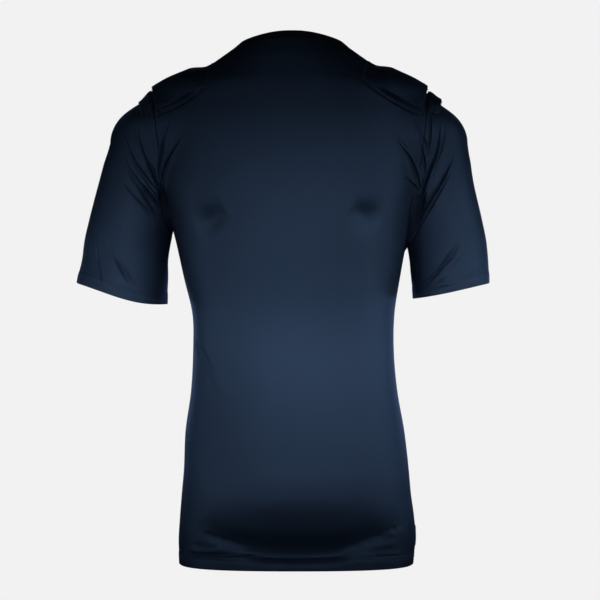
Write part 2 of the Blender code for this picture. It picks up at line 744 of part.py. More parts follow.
def make_neckband(finish):
    """The band round the neck, which stands on the edge of the panels and leans inwards."""
    quarters = [
        spaced(neck_line(side, facing), even(COLUMNS_NECK))
        for side, facing in ((LEFT, BACK), (RIGHT, BACK), (RIGHT, FRONT), (LEFT, FRONT))
    ]
    ring = np.concatenate(
        [quarters[0][:0:-1], quarters[1][:-1], quarters[2][:0:-1], quarters[3][:-1]]
    )
    normal = unit(slope_of(ring))
    along = unit(np.roll(ring, -1, axis=0) - np.roll(ring, 1, axis=0))
    rise = np.cross(normal, along)
    rise *= np.sign(rise[:, 2:])
    lean = unit(rise * (1 - BAND_UPRIGHT) + np.array([0.0, 0.0, BAND_UPRIGHT]))
    across = unit(np.cross(along, lean))
    across *= np.sign((across * normal).sum(-1, keepdims=True))
    foot = ring + rise * SEAM_GAP
    inner, outer = [], []
    for share, thick in BAND_PROFILE:
        line = foot + lean * BAND_HEIGHT * share
        middle = across * (WALL / 2)
        inner.append(line + middle - across * thick / 2)
        outer.append(line + middle + across * thick / 2)
    return wall("neckband", np.stack(inner), np.stack(outer), finish, closed=True)


def make_pad(name, base, height, crown, finish):
    """A pad: a flange all round and a raised block inside it, just clear of the cloth."""
    normal = unit(slope_of(base))
    rows, columns = base.shape[:2]
    thick = np.full((rows, columns), PAD_FLANGE)
    arch = np.outer(np.sin(math.pi * even(rows - 5)), np.sin(math.pi * even(columns - 5)))
    thick[2:-2, 2:-2] = height + crown * arch
    under = base + normal * (WALL + PAD_GAP)
    return wall(name, under, under + normal * thick[..., None], finish)


def clear_scene():
    """Removes whatever the scene holds."""
    for item in list(bpy.data.objects):
        bpy.data.objects.remove(item)


def main():
    """Builds every piece of the shirt."""
    clear_scene()
    for facing, name in ((BACK, "back_knit"), (FRONT, "front_knit")):
        make_panel(facing, material(name, CLOTH_COLOUR, CLOTH_ROUGHNESS))
    make_neckband(material("band_rib", BAND_COLOUR, BAND_ROUGHNESS))
    for side, name in SIDE_NAME.items():
        make_sleeve(side, material("sleeve_knit_" + name, CLOTH_COLOUR, CLOTH_ROUGHNESS))
        finish = material("pad_cover_" + name, PAD_COLOUR, PAD_ROUGHNESS)
        make_pad("shoulder_pad_" + name, shoulder_pad_grid(side), PAD_HEIGHT, PAD_CROWN, finish)
        finish = material("cap_cover_" + name, PAD_COLOUR, PAD_ROUGHNESS)
        make_pad("cap_pad_" + name, cap_pad_grid(side), CAP_HEIGHT, 0.0, finish)


main()
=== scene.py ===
"""The finished looks of a padded compression shirt, filled out as when worn and seen from behind.

The cloth follows the same smooth form as the solids: a torso and two arms, given by sections and
run together where they meet. Fine shells for the panels, the sleeves and the neckband lie on it,
pressed in by creases, with foam pads sewn over the shoulders and stitches along the edges.

Metres, +Z up, +Y the way the wearer faces, +X the wearer's right hand.
"""

import functools
import logging
import math
from dataclasses import dataclass, replace
from enum import IntEnum

import bpy
import numpy as np
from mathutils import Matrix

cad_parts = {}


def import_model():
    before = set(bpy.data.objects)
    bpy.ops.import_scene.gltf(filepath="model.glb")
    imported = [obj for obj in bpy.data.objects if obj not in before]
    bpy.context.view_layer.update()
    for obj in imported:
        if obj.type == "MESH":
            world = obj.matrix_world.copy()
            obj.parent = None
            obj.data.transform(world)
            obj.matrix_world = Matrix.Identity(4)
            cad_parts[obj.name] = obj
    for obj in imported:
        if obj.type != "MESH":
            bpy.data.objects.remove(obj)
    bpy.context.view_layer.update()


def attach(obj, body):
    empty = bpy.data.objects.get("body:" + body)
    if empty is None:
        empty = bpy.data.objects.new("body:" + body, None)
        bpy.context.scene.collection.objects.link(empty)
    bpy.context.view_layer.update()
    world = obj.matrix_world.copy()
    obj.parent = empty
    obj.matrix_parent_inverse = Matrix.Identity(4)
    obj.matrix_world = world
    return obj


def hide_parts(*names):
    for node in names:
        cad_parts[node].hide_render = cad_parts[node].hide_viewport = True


log = logging.getLogger("shirt")
Array = np.ndarray
Tint = tuple[float, float, float]

UV_NAME = "cloth"
OUT_NAME = "out"
UP = (0.0, 0.0, 1.0)
BLACK = (0.0, 0.0, 0.0, 1.0)


class Side(IntEnum):
    """The wearer's side, as the sign of X."""

    LEFT = -1
    RIGHT = 1

    @property
    def word(self) -> str:
        """The side as it stands in a piece's name."""
        return self.name.lower()


class Face(IntEnum):
    """The back or the front of the shirt, as the sign of Y."""

    BACK = -1
    FRONT = 1


def unit(vectors: Array) -> Array:
    """Vectors brought to length 1."""
    return vectors / np.maximum(np.linalg.norm(vectors, axis=-1, keepdims=True), 1e-12)


def even(count: int) -> Array:
    """Shares from 0 to 1 in count equal steps."""
    return np.linspace(0.0, 1.0, count + 1)


def soft_step(at: Array, low: float, high: float) -> Array:
    """A smooth rise from 0 at low to 1 at high.

    Args:
        at: Where to read it.
        low: The value up to which it is 0.
        high: The value from which it is 1.

    Returns:
        The height of the step at each place.
    """
    share = np.clip((at - low) / (high - low), 0.0, 1.0)
    return share * share * (3 - 2 * share)


def curve_through(x: Array, y: Array, at: Array) -> Array:
    """Reads a smooth curve through given values.

    Args:
        x: Places of the values, rising.
        y: The values, with x along their first axis.
        at: Places to read.

    Returns:
        The curve at those places.
    """
    slope = np.gradient(y, x, axis=0)
    at = np.clip(at, x[0], x[-1])
    first = np.clip(np.searchsorted(x, at) - 1, 0, len(x) - 2)
    span = (x[first + 1] - x[first]).reshape((-1,) + (1,) * (y.ndim - 1))
    share = (at - x[first]).reshape(span.shape) / span
    return (
        y[first] * (1 + 2 * share) * (1 - share) ** 2
        + slope[first] * span * share * (1 - share) ** 2
        + y[first + 1] * share**2 * (3 - 2 * share)
        + slope[first + 1] * span * share**2 * (share - 1)
    )


def spaced(points: Array, shares: Array) -> Array:
    """Points along a smooth line at shares of its length.

    Args:
        points: The line's points.
        shares: The shares.

    Returns:
        One point for each share.
    """
    lengths = np.linalg.norm(np.diff(points, axis=0), axis=1)
    along = np.concatenate([[0.0], np.cumsum(lengths)]) / lengths.sum()
    return curve_through(along, points, shares)


def gathered(shares: Array, amount: float) -> Array:
    """Shares drawn together towards 1 by an amount from 0 to 1."""
    return shares + amount * np.sin(math.pi * shares) / math.pi


def lengths_along(grid: Array, axis: int) -> Array:
    """The distance from the first row or column to each point of a grid.

    Args:
        grid: The grid.
        axis: 0 to measure down the rows, 1 across the columns.

    Returns:
        One length for each point.
    """
    steps = np.linalg.norm(np.diff(grid, axis=axis), axis=2)
    start = np.zeros_like(np.take(steps, [0], axis=axis))
    return np.concatenate([start, np.cumsum(steps, axis=axis)], axis=axis)


def inset(grid: Array, axis: int, amount: float) -> int:
    """The row or column whose mean distance from the first one is nearest to an amount."""
    far = lengths_along(grid, axis).mean(axis=1 - axis)
    return int(np.argmin(np.abs(far - amount)))


def broadened(values: Array, reach: int) -> Array:
    """The largest value within reach of each place of a grid, along its rows and columns.

    Args:
        values: The grid of values.
        reach: How many places away to look.

    Returns:
        A grid of the same size.
    """
    for axis in (0, 1):
        margin = [(reach, reach) if axis == way else (0, 0) for way in (0, 1)]
        padded = np.pad(values, margin, mode="edge")
        windows = np.lib.stride_tricks.sliding_window_view(padded, 2 * reach + 1, axis=axis)
        values = windows.max(axis=-1)
    return values


def quarter_round(share: Array) -> Array:
    """The height of a quarter circle, which rises from 0 at 0 to 1 at 1."""
    share = np.clip(share, 0.0, 1.0)
    return np.sqrt(share * (2 - share))


def bell(at: Array, middle: float, reach: float) -> Array:
    """A bell curve, 1 at its middle and falling within its reach."""
    return np.exp(-(((at - middle) / reach) ** 2))


def add_object(name: str, data: bpy.types.ID) -> bpy.types.Object:
    """Puts a new object in the scene.

    Args:
        name: Its name.
        data: Its mesh, light or camera.

    Returns:
        The object.
    """
    made = bpy.data.objects.new(name, data)
    bpy.context.scene.collection.objects.link(made)
    return made


def add_node(
    tree: bpy.types.NodeTree, kind: str, settings: dict[str, object], inputs: dict[object, object]
) -> bpy.types.Node:
    """Adds a node to a tree.

    Args:
        tree: The tree.
        kind: The node's type.
        settings: Its properties, set before its inputs.
        inputs: Values, sockets or wires by the input's name or number.

    Returns:
        The node.
    """
    made = tree.nodes.new(kind)
    for name, value in settings.items():
        setattr(made, name, value)
    for name, value in inputs.items():
        feed(tree, made.inputs[name], value)
    return made


def feed(tree: bpy.types.NodeTree, socket: bpy.types.NodeSocket, value: object) -> None:
    """Links or sets one input.

    Args:
        tree: The tree that it is in.
        socket: The input.
        value: A value, a socket or a wire.
    """
    if isinstance(value, Wire):
        value = value.socket
    if isinstance(value, bpy.types.NodeSocket):
        tree.links.new(value, socket)
    else:
        socket.default_value = value


@dataclass(frozen=True)
class Sections:
    """Sections along one axis with named columns, read along smooth curves."""

    columns: str
    rows: tuple[tuple[float, ...], ...]
    samples: int = 6000

    @functools.cached_property
    def curves(self) -> dict[str, tuple[Array, Array]]:
        """Each column as a dense curve along the first one.

        Returns:
            Places along the first column and the values there, by column.
        """
        data = np.array(sorted(self.rows), float)
        at = np.linspace(data[0, 0], data[-1, 0], self.samples)
        named = zip(self.columns.split(), data.T)
        return {name: (at, curve_through(data[:, 0], column, at)) for name, column in named}

    @property
    def last(self) -> float:
        """The end of the first column."""
        return float(max(row[0] for row in self.rows))

    def read(self, column: str, at: Array) -> Array:
        """The values of one column at places along the first."""
        return np.interp(at, *self.curves[column])


TORSO = Sections(
    "z half_width back front across deep shift",
    (
        (-0.700, 0.1590, 0.092, 0.097, 2.5, 2.5, 0.006),
        (-0.664, 0.1610, 0.094, 0.098, 2.5, 2.5, 0.006),
        (-0.640, 0.1630, 0.095, 0.099, 2.5, 2.5, 0.007),
        (-0.610, 0.1612, 0.107, 0.101, 2.5, 2.5, 0.007),
        (-0.575, 0.1575, 0.119, 0.102, 2.4, 2.4, 0.006),
        (-0.545, 0.1548, 0.121, 0.102, 2.4, 2.4, 0.006),
        (-0.490, 0.1505, 0.111, 0.101, 2.4, 2.4, 0.004),
        (-0.435, 0.1420, 0.099, 0.099, 2.4, 2.4, 0.003),
        (-0.380, 0.1382, 0.093, 0.099, 2.4, 2.4, 0.002),
        (-0.330, 0.1390, 0.096, 0.102, 2.4, 2.4, 0.002),
        (-0.280, 0.1485, 0.105, 0.109, 2.4, 2.4, 0.000),
        (-0.228, 0.1590, 0.115, 0.116, 2.4, 2.5, -0.001),
        (-0.163, 0.1745, 0.120, 0.118, 2.5, 2.5, -0.003),
        (-0.110, 0.1820, 0.116, 0.108, 2.4, 2.3, -0.004),
        (-0.065, 0.1860, 0.106, 0.090, 2.3, 1.9, -0.004),
        (-0.040, 0.1880, 0.098, 0.078, 2.2, 1.6, -0.003),
        (-0.027, 0.1860, 0.094, 0.071, 2.2, 1.5, -0.002),
        (-0.015, 0.1700, 0.090, 0.066, 2.2, 1.5, -0.002),
        (-0.005, 0.1465, 0.086, 0.062, 2.2, 1.5, -0.001),
        (0.0050, 0.1250, 0.082, 0.058, 2.2, 1.6, 0.000),
        (0.0200, 0.1025, 0.077, 0.053, 2.1, 1.7, 0.000),
        (0.0345, 0.0815, 0.070, 0.049, 2.0, 1.9, 0.000),
        (0.0480, 0.0630, 0.064, 0.046, 2.0, 2.0, 0.000),
        (0.0700, 0.0500, 0.058, 0.045, 2.0, 2.0, 0.000),
    ),
)

LEFT_ARM = Sections(
    "z x y radius",
    (
        (-0.340, 0.2365, 0.006, 0.0620),
        (-0.300, 0.2355, 0.005, 0.0620),
        (-0.280, 0.2335, 0.004, 0.0610),
        (-0.255, 0.2305, 0.003, 0.0582),
        (-0.228, 0.2265, 0.002, 0.0585),
        (-0.200, 0.2195, 0.001, 0.0590),
        (-0.145, 0.2030, 0.000, 0.0610),
        (-0.095, 0.1850, 0.000, 0.0655),
    ),
)

RIGHT_ARM = Sections(
    "z x y radius",
    (
        (-0.340, 0.2205, 0.006, 0.0505),
        (-0.300, 0.2195, 0.005, 0.0515),
        (-0.275, 0.2180, 0.004, 0.0528),
        (-0.255, 0.2165, 0.003, 0.0532),
        (-0.228, 0.2125, 0.002, 0.0543),
        (-0.200, 0.2050, 0.001, 0.0560),
        (-0.145, 0.1895, 0.000, 0.0590),
        (-0.095, 0.1770, 0.000, 0.0650),
    ),
)


@dataclass(frozen=True)
class Seams:
    """The points that one side's armhole and cuff run through, as x away from the middle, and z."""

    shoulder: tuple[float, float]
    underarm: tuple[float, float]
    cuff_out: tuple[float, float]
    cuff_in: tuple[float, float]
    cuff_drop: float


SEAMS = {
    Side.LEFT: Seams((0.190, -0.026), (0.163, -0.217), (0.297, -0.287), (0.173, -0.3158), 0.005),
    Side.RIGHT: Seams((0.185, -0.026), (0.160, -0.236), (0.2725, -0.287), (0.1680, -0.308), 0.001),
}


@dataclass(frozen=True)
class PadPlace:
    """A shoulder pad's ends on the shoulder seam, and its lower corners as x and z."""

    inner_x: float
    outer_x: float
    low_in: tuple[float, float]
    low_out: tuple[float, float]


PAD_PLACES = {
    Side.LEFT: PadPlace(0.106, 0.1890, (0.112, -0.027), (0.184, -0.066)),
    Side.RIGHT: PadPlace(0.106, 0.1840, (0.093, -0.019), (0.175, -0.065)),
}


CAP_SHAPES = {
    Side.LEFT: {"height": 0.0056, "outer_share": 0.10},
    Side.RIGHT: {"height": 0.0040, "outer_share": 2.00},
}


@dataclass(eq=False)
class ShirtForm:
    """The smooth form inside the cloth: a torso and two arms run together."""

    wall: float = 0.0015
    blend_underarm: float = 0.003
    blend_shoulder: float = 0.036
    blend_heights: tuple[float, float] = (-0.200, -0.090)
    shoulder_flatness: float = 1.15
    arm_lean: float = 0.2
    probe: float = 0.0004
    least_steepness: float = 2.0
    farthest_inside: float = -0.1
    lean_height: float = 0.03
    least_square: float = 0.05
    farthest_move: float = 0.02
    halvings: int = 20

    def torso_distance(self, x: Array, y: Array, z: Array) -> Array:
        """About how far points lie outside the torso.

        Args:
            x: The points' x.
            y: Their y.
            z: Their z.

        Returns:
            The distances, less than 0 inside.
        """
        half = TORSO.read("half_width", z)
        depth = np.where(y < 0.0, TORSO.read("back", z), TORSO.read("front", z))
        across, deep = TORSO.read("across", z), TORSO.read("deep", z)
        dx, dy = np.abs(x - TORSO.read("shift", z)) / half, np.abs(y) / depth
        over = dx**across + dy**deep - 1
        slope = np.hypot(across * dx ** (across - 1) / half, deep * dy ** (deep - 1) / depth)
        return np.maximum(over / np.maximum(slope, self.least_steepness), self.farthest_inside)

    def arm_distance(self, side: Side, x: Array, y: Array, z: Array) -> Array:
        """How far points lie outside one arm, which ends above in a round shoulder.

        Args:
            side: The wearer's side.
            x: The points' x.
            y: Their y.
            z: Their z.

        Returns:
            The distances, less than 0 inside.
        """
        arm = LEFT_ARM if side is Side.LEFT else RIGHT_ARM
        level = np.minimum(z, arm.last)
        lean = np.cos(self.arm_lean * soft_step(arm.last - level, 0.0, self.lean_height))
        flat = np.hypot((x - side * arm.read("x", level)) * lean, y - arm.read("y", level))
        return np.hypot(flat, (z - level) * self.shoulder_flatness) - arm.read("radius", level)

    @staticmethod
    def lesser(a: Array, b: Array, reach: Array) -> Array:
        """The lesser of two distances, rounded where they are within reach of each other."""
        share = np.clip(0.5 + 0.5 * (b - a) / reach, 0.0, 1.0)
        return b * (1 - share) + a * share - reach * share * (1 - share)

    def distance(self, points: Array) -> Array:
        """About how far points lie outside the inner face of the cloth.

        Args:
            points: The points.

        Returns:
            The distances, less than 0 inside.
        """
        x, y, z = points[..., 0], points[..., 1], points[..., 2]
        over = soft_step(z, *self.blend_heights)
        reach = self.blend_underarm + (self.blend_shoulder - self.blend_underarm) * over
        least = self.torso_distance(x, y, z)
        for side in Side:
            least = self.lesser(least, self.arm_distance(side, x, y, z), reach)
        return least + self.wall

    def slope(self, points: Array) -> Array:
        """The gradient of the distance at points.

        Args:
            points: The points.

        Returns:
            One vector for each point.
        """
        moves = np.eye(3) * self.probe
        parts = [self.distance(points + move) - self.distance(points - move) for move in moves]
        return np.stack(parts, axis=-1) / (2 * self.probe)

    def outward(self, points: Array) -> Array:
        """The direction straight out of the cloth at points."""
        return unit(self.slope(points))

    def settled(self, points: Array, level: bool = False, rounds: int = 10) -> Array:
        """Moves points onto the form.

        Args:
            points: The points to move.
            level: Whether each keeps its height.
            rounds: How often they are moved.

        Returns:
            The moved points.
        """
        for _ in range(rounds):
            slope = self.slope(points)
            if level:
                slope[..., 2] = 0
            square = np.maximum((slope**2).sum(-1), self.least_square)
            move = np.clip(self.distance(points) / square, -self.farthest_move, self.farthest_move)
            points = points - move[..., None] * slope
        return points

    def cast(self, origin: Array, direction: Array, reach: float = 0.24, steps: int = 121) -> Array:
        """Finds where rays from inside first leave the form.

        Args:
            origin: Where the rays start, one point or one for each ray.
            direction: The ways they go.
            reach: How far they go at most.
            steps: How finely each is searched.

        Returns:
            One point for each ray.
        """
        direction = unit(np.asarray(direction, float))
        origin = np.broadcast_to(np.asarray(origin, float), direction.shape)
        travel = np.linspace(0.0, reach, steps)
        points = origin[:, None, :] + travel[None, :, None] * direction[:, None, :]
        first = np.maximum((self.distance(points) > 0).argmax(axis=1), 1)
        low, high = travel[first - 1], travel[first]
        for _ in range(self.halvings):
            half = (low + high) / 2
            outside = self.distance(origin + half[:, None] * direction) > 0
            low, high = np.where(outside, low, half), np.where(outside, half, high)
        return origin + low[:, None] * direction


@dataclass(eq=False)
class ShirtCut:
    """Where the seams and edges of the shirt run on its form, and the grids between them."""

    form: ShirtForm
    hem_z: float = -0.6715
    hem_back_drop: float = -0.002
    chest_z: float = -0.226
    cast_z: float = -0.060
    neck_half_width: float = 0.0765
    neck_depth_back: float = 0.0647
    neck_depth_front: float = 0.0800
    neck_fullness_back: float = 1.9
    neck_fullness_front: float = 2.2
    neck_share: float = 0.4
    closer_columns: float = 0.62
    closer_sleeve: float = 0.62
    closer_inside: float = 0.40
    sleeve_length: float = 0.29
    edge_zone: float = 0.022
    columns: int = 130
    low_count: int = 104
    edge_count: int = 22
    high_count: int = 186
    sleeve_count: int = 204
    back_count: int = 214
    front_count: int = 130
    coarse: int = 30
    armhole_rays: int = 181
    arc_points: int = 61
    flank_points: int = 80
    inner_points: int = 40
    shoulder_steps: int = 40
    relaxings: int = 14

    @property
    def shoulder_columns(self) -> int:
        """How many columns of half a panel's upper edge lie on the shoulder seam."""
        return self.columns - round(self.columns * self.neck_share)

    def seam_point(self, side: Side, name: str) -> Array:
        """One of a side's seam points in space."""
        x, z = getattr(SEAMS[side], name)
        return np.array([side * x, 0.0, z])

    def armhole_across(self, side: Side) -> Array:
        """The direction across an armhole seam, away from the body."""
        up = unit(self.seam_point(side, "shoulder") - self.seam_point(side, "underarm"))
        return side * np.array([up[2], 0.0, -up[0]])

    @functools.cache
    def armhole(self, side: Side, face: Face) -> Array:
        """Half the armhole seam, from the underarm over one face to the shoulder.

        Args:
            side: The wearer's side.
            face: The back or the front.

        Returns:
            Points along the seam.
        """
        top, bottom = self.seam_point(side, "shoulder"), self.seam_point(side, "underarm")
        angles = np.radians(np.linspace(0, 180, self.armhole_rays))[:, None]
        rays = -np.cos(angles) * unit(top - bottom) + np.sin(angles) * np.array([0.0, face, 0.0])
        return self.form.cast((top + bottom) / 2, rays)

    @functools.cache
    def neck_line(self, side: Side, face: Face) -> Array:
        """A quarter of the neckline, from the middle of one face to the side.

        Args:
            side: The wearer's side.
            face: The back or the front.

        Returns:
            Points along the neckline.
        """
        back = face is Face.BACK
        fullness = self.neck_fullness_back if back else self.neck_fullness_front
        depth = self.neck_depth_back if back else self.neck_depth_front
        angles = np.radians(np.linspace(0, 90, self.arc_points))
        x = side * self.neck_half_width * np.sin(angles) ** (2 / fullness)
        y = face * depth * np.abs(np.cos(angles)) ** (2 / fullness)
        y[-1] = 0.0
        starts = np.stack([x, y, np.full_like(x, self.cast_z)], axis=-1)
        return self.form.cast(starts, np.tile(UP, (len(x), 1)))

    @functools.cache
    def shoulder_line(self, side: Side) -> Array:
        """The shoulder seam, from the neck to the top of the armhole.

        Args:
            side: The wearer's side.

        Returns:
            Points along the seam.
        """
        start, end = self.neck_line(side, Face.BACK)[-1], self.armhole(side, Face.BACK)[-1]
        line = start + even(self.shoulder_steps)[:, None] * (end - start)
        line[1:-1, 2] = self.cast_z
        line[1:-1] = self.form.cast(line[1:-1], np.tile(UP, (self.shoulder_steps - 1, 1)))
        return line

    def column_shares(self, count: int) -> Array:
        """Shares across half a panel, closer together towards its side."""
        return gathered(even(count), self.closer_columns)

    def low_rows(self, side: Side, face: Face) -> Array:
        """The rows of half a panel up to the underarm, from the middle to the side seam.

        Args:
            side: The wearer's side.
            face: The back or the front.

        Returns:
            The grid, from the hem up.
        """
        edge = self.edge_zone / (self.chest_z - self.hem_z)
        turned, above = edge * even(self.edge_count)[:-1], edge + (1 - edge) * even(self.low_count)
        shares = np.concatenate([turned, above])[:, None]
        angles = np.radians(np.linspace(0, 90, self.arc_points))[None, :]
        drop = self.hem_back_drop * np.cos(angles) ** 2 * (face is Face.BACK)
        rise = self.seam_point(side, "underarm")[2] - self.chest_z
        top = self.chest_z + rise * np.sin(angles) ** 4
        z = (self.hem_z - drop) * (1 - shares) + top * shares
        depth = TORSO.read("back" if face is Face.BACK else "front", z)
        bend = np.sin(angles) ** (2 / TORSO.read("across", z))
        x = TORSO.read("shift", z) + side * TORSO.read("half_width", z) * bend
        y = face * depth * np.abs(np.cos(angles)) ** (2 / TORSO.read("deep", z))
        points = self.form.settled(np.stack([x, y, z], axis=-1), level=True, rounds=6)
        points[:, -1, 1] = 0.0
        return np.stack([spaced(row, self.column_shares(self.columns)) for row in points])

    def top_row(self, side: Side, face: Face, count: int) -> Array:
        """The upper edge of half a panel: the neckline, then the shoulder seam.

        Args:
            side: The wearer's side.
            face: The back or the front.
            count: How many steps it has.

        Returns:
            Points along the edge.
        """
        neck = round(count * self.neck_share)
        first = spaced(self.neck_line(side, face), even(neck))
        return np.concatenate([first, spaced(self.shoulder_line(side), even(count - neck))[1:]])

    def high_rows(self, side: Side, face: Face, low_row: Array) -> Array:
        """Half a panel above the underarm, inside its four edges.

        Args:
            side: The wearer's side.
            face: The back or the front.
            low_row: The row of points that it starts from.

        Returns:
            The grid, from that row up to the neck and shoulder.
        """
        count = self.coarse
        at, columns = even(count), self.column_shares(count)
        edge = spaced(self.armhole(side, face), at)
        top = self.top_row(side, face, count)
        bottom = curve_through(even(self.columns), low_row, at)
        bottom[-1] = edge[0]
        middle = self.form.settled(bottom[0] + at[:, None] * (top[0] - bottom[0]), level=True)
        middle = spaced(middle, at)
        u, v = columns[None, :, None], at[:, None, None]
        across = (1 - u) * middle[:, None] + u * edge[:, None]
        upward = (1 - v) * bottom[None] + v * top[None]
        low_corners = (1 - u) * bottom[0] + u * bottom[-1]
        high_corners = (1 - u) * top[0] + u * top[-1]
        patch = across + upward - (1 - v) * low_corners - v * high_corners
        inner = (slice(1, -1), slice(1, -1))
        patch[inner] = self.form.settled(patch[inner])
        for _ in range(self.relaxings):
            near = patch[:-2, 1:-1] + patch[2:, 1:-1] + patch[1:-1, :-2] + patch[1:-1, 2:]
            patch[inner] = self.form.settled((patch[inner] + near / 4) / 2, rounds=3)
        fine = curve_through(at, patch, even(self.high_count))
        fine = curve_through(at, fine.swapaxes(0, 1), even(self.columns)).swapaxes(0, 1)
        fine[inner] = self.form.settled(fine[inner], rounds=3)
        fine[0], fine[-1] = low_row, self.top_row(side, face, self.columns)
        fine[:, -1] = spaced(self.armhole(side, face), even(self.high_count))
        return fine

    @functools.cache
    def half_panel(self, side: Side, face: Face) -> Array:
        """All the rows of half a panel, from its middle to its side."""
        low = self.low_rows(side, face)
        return np.concatenate([low[:-1], self.high_rows(side, face, low[-1])])

    @functools.cache
    def outer_line(self, side: Side) -> Array:
        """The line down the outside of a sleeve, from the shoulder seam to the cuff.

        Args:
            side: The wearer's side.

        Returns:
            Points down the line.
        """
        top, bottom = self.seam_point(side, "shoulder"), self.seam_point(side, "underarm")
        middle = (top + bottom) / 2
        start = math.atan2(side * (top - middle)[0], (top - middle)[2])
        angles = np.linspace(start, math.pi / 2, self.flank_points)
        rays = np.stack([side * np.sin(angles), np.zeros_like(angles), np.cos(angles)], axis=-1)
        heights = np.linspace(middle[2], self.seam_point(side, "cuff_out")[2], self.flank_points)
        flank = self.arm_side(side, heights[1:], float(side))
        return np.concatenate([self.form.cast(middle, rays), flank])

    @functools.cache
    def inner_line(self, side: Side) -> Array:
        """The line down the inside of a sleeve, from the underarm to the cuff.

        Args:
            side: The wearer's side.

        Returns:
            Points down the line.
        """
        ends = self.seam_point(side, "underarm")[2], self.seam_point(side, "cuff_in")[2]
        line = self.arm_side(side, np.linspace(*ends, self.inner_points), -float(side))
        line[0] = self.armhole(side, Face.BACK)[0]
        return line

    def arm_side(self, side: Side, heights: Array, way: float) -> Array:
        """The points where an arm's outline is met from its middle, to the way given along X.

        Args:
            side: The wearer's side.
            heights: Their heights.
            way: 1 or -1.

        Returns:
            One point for each height.
        """
        arm = LEFT_ARM if side is Side.LEFT else RIGHT_ARM
        x, y = side * arm.read("x", heights), arm.read("y", heights)
        origins = np.stack([x, y, heights], axis=-1)
        return self.form.cast(origins, np.tile([way, 0.0, 0.0], (len(heights), 1)))

    @functools.cache
    def ring_half(self, side: Side, share: float, face: Face) -> Array:
        """Half of one ring of a sleeve, from its inner side over one face to its outer side.

        Args:
            side: The wearer's side.
            share: How far down the sleeve it lies.
            face: The back or the front.

        Returns:
            Points along the half ring.
        """
        low = spaced(self.inner_line(side), np.array([share]))[0]
        high = spaced(self.outer_line(side), np.array([share]))[0]
        angles = np.radians(np.linspace(0, 180, self.arc_points))
        rays = -np.cos(angles)[:, None] * unit(high - low)
        rays = rays + np.sin(angles)[:, None] * np.array([0.0, face, 0.0])
        line = self.form.cast((low + high) / 2, rays)
        if face is Face.BACK:
            hang = SEAMS[side].cuff_drop * share**6
            line[:, 2] -= hang * np.sin(angles) ** 2 * (1 + np.cos(angles))
        return line

    def sleeve_shares(self) -> Array:
        """Shares down a sleeve, closer at the shoulder and in the turned cuff.

        Returns:
            The shares, from 0 to 1.
        """
        cuff = self.edge_zone / self.sleeve_length
        body = (1 - gathered(1 - even(self.sleeve_count), self.closer_sleeve)) * (1 - cuff)
        return np.concatenate([body, 1 - cuff + cuff * even(self.edge_count)[1:]])

    @functools.cache
    def sleeve(self, side: Side) -> Array:
        """The rings of a sleeve, each from the inner side over the back and round the front.

        Args:
            side: The wearer's side.

        Returns:
            The grid of points.
        """
        counts = self.back_count, self.front_count
        around = [gathered(even(count), -self.closer_inside) for count in counts]
        rings = []
        for share in self.sleeve_shares():
            halves = [self.ring_half(side, float(share), face) for face in Face]
            if share == 0.0:
                halves = [self.armhole(side, face) for face in Face]
            back, front = (spaced(*both) for both in zip(halves, around))
            rings.append(np.concatenate([back, front[-2:0:-1]]))
        return np.stack(rings)


# A crease's middle line: the distance between its points, and how few it has at least
CREASE_SPACING = 0.004
CREASE_POINTS = 12
# Its profile, in widths: how far it is felt, where its raised sides lie, and how fast it fades
CREASE_REACH = 4
LIP_AT, LIP_WIDTH = 2.0, 0.8
FADE = 0.3
# How it starts and ends along its length
START_POWER, END_POWER = 1.4, 0.8
# Its unevenness: height and rate of a slow and a quick wave, fading in creases over a width
SLOW_WAVE, QUICK_WAVE = (0.22, 9.0), (0.10, 23.0)
WAVE_SHIFT = 300
UNEVEN_WIDTH = 0.0015
# What the front's creases have of the back's, each with how much it varies
TWIN_NEARER, TWIN_NEARER_RANGE = 0.985, 0.012
TWIN_DEPTH, TWIN_DEPTH_RANGE = 0.85, 0.20
TWIN_WIDTH = 1.05
TWIN_RISE, TWIN_FALL = 0.004, 0.002


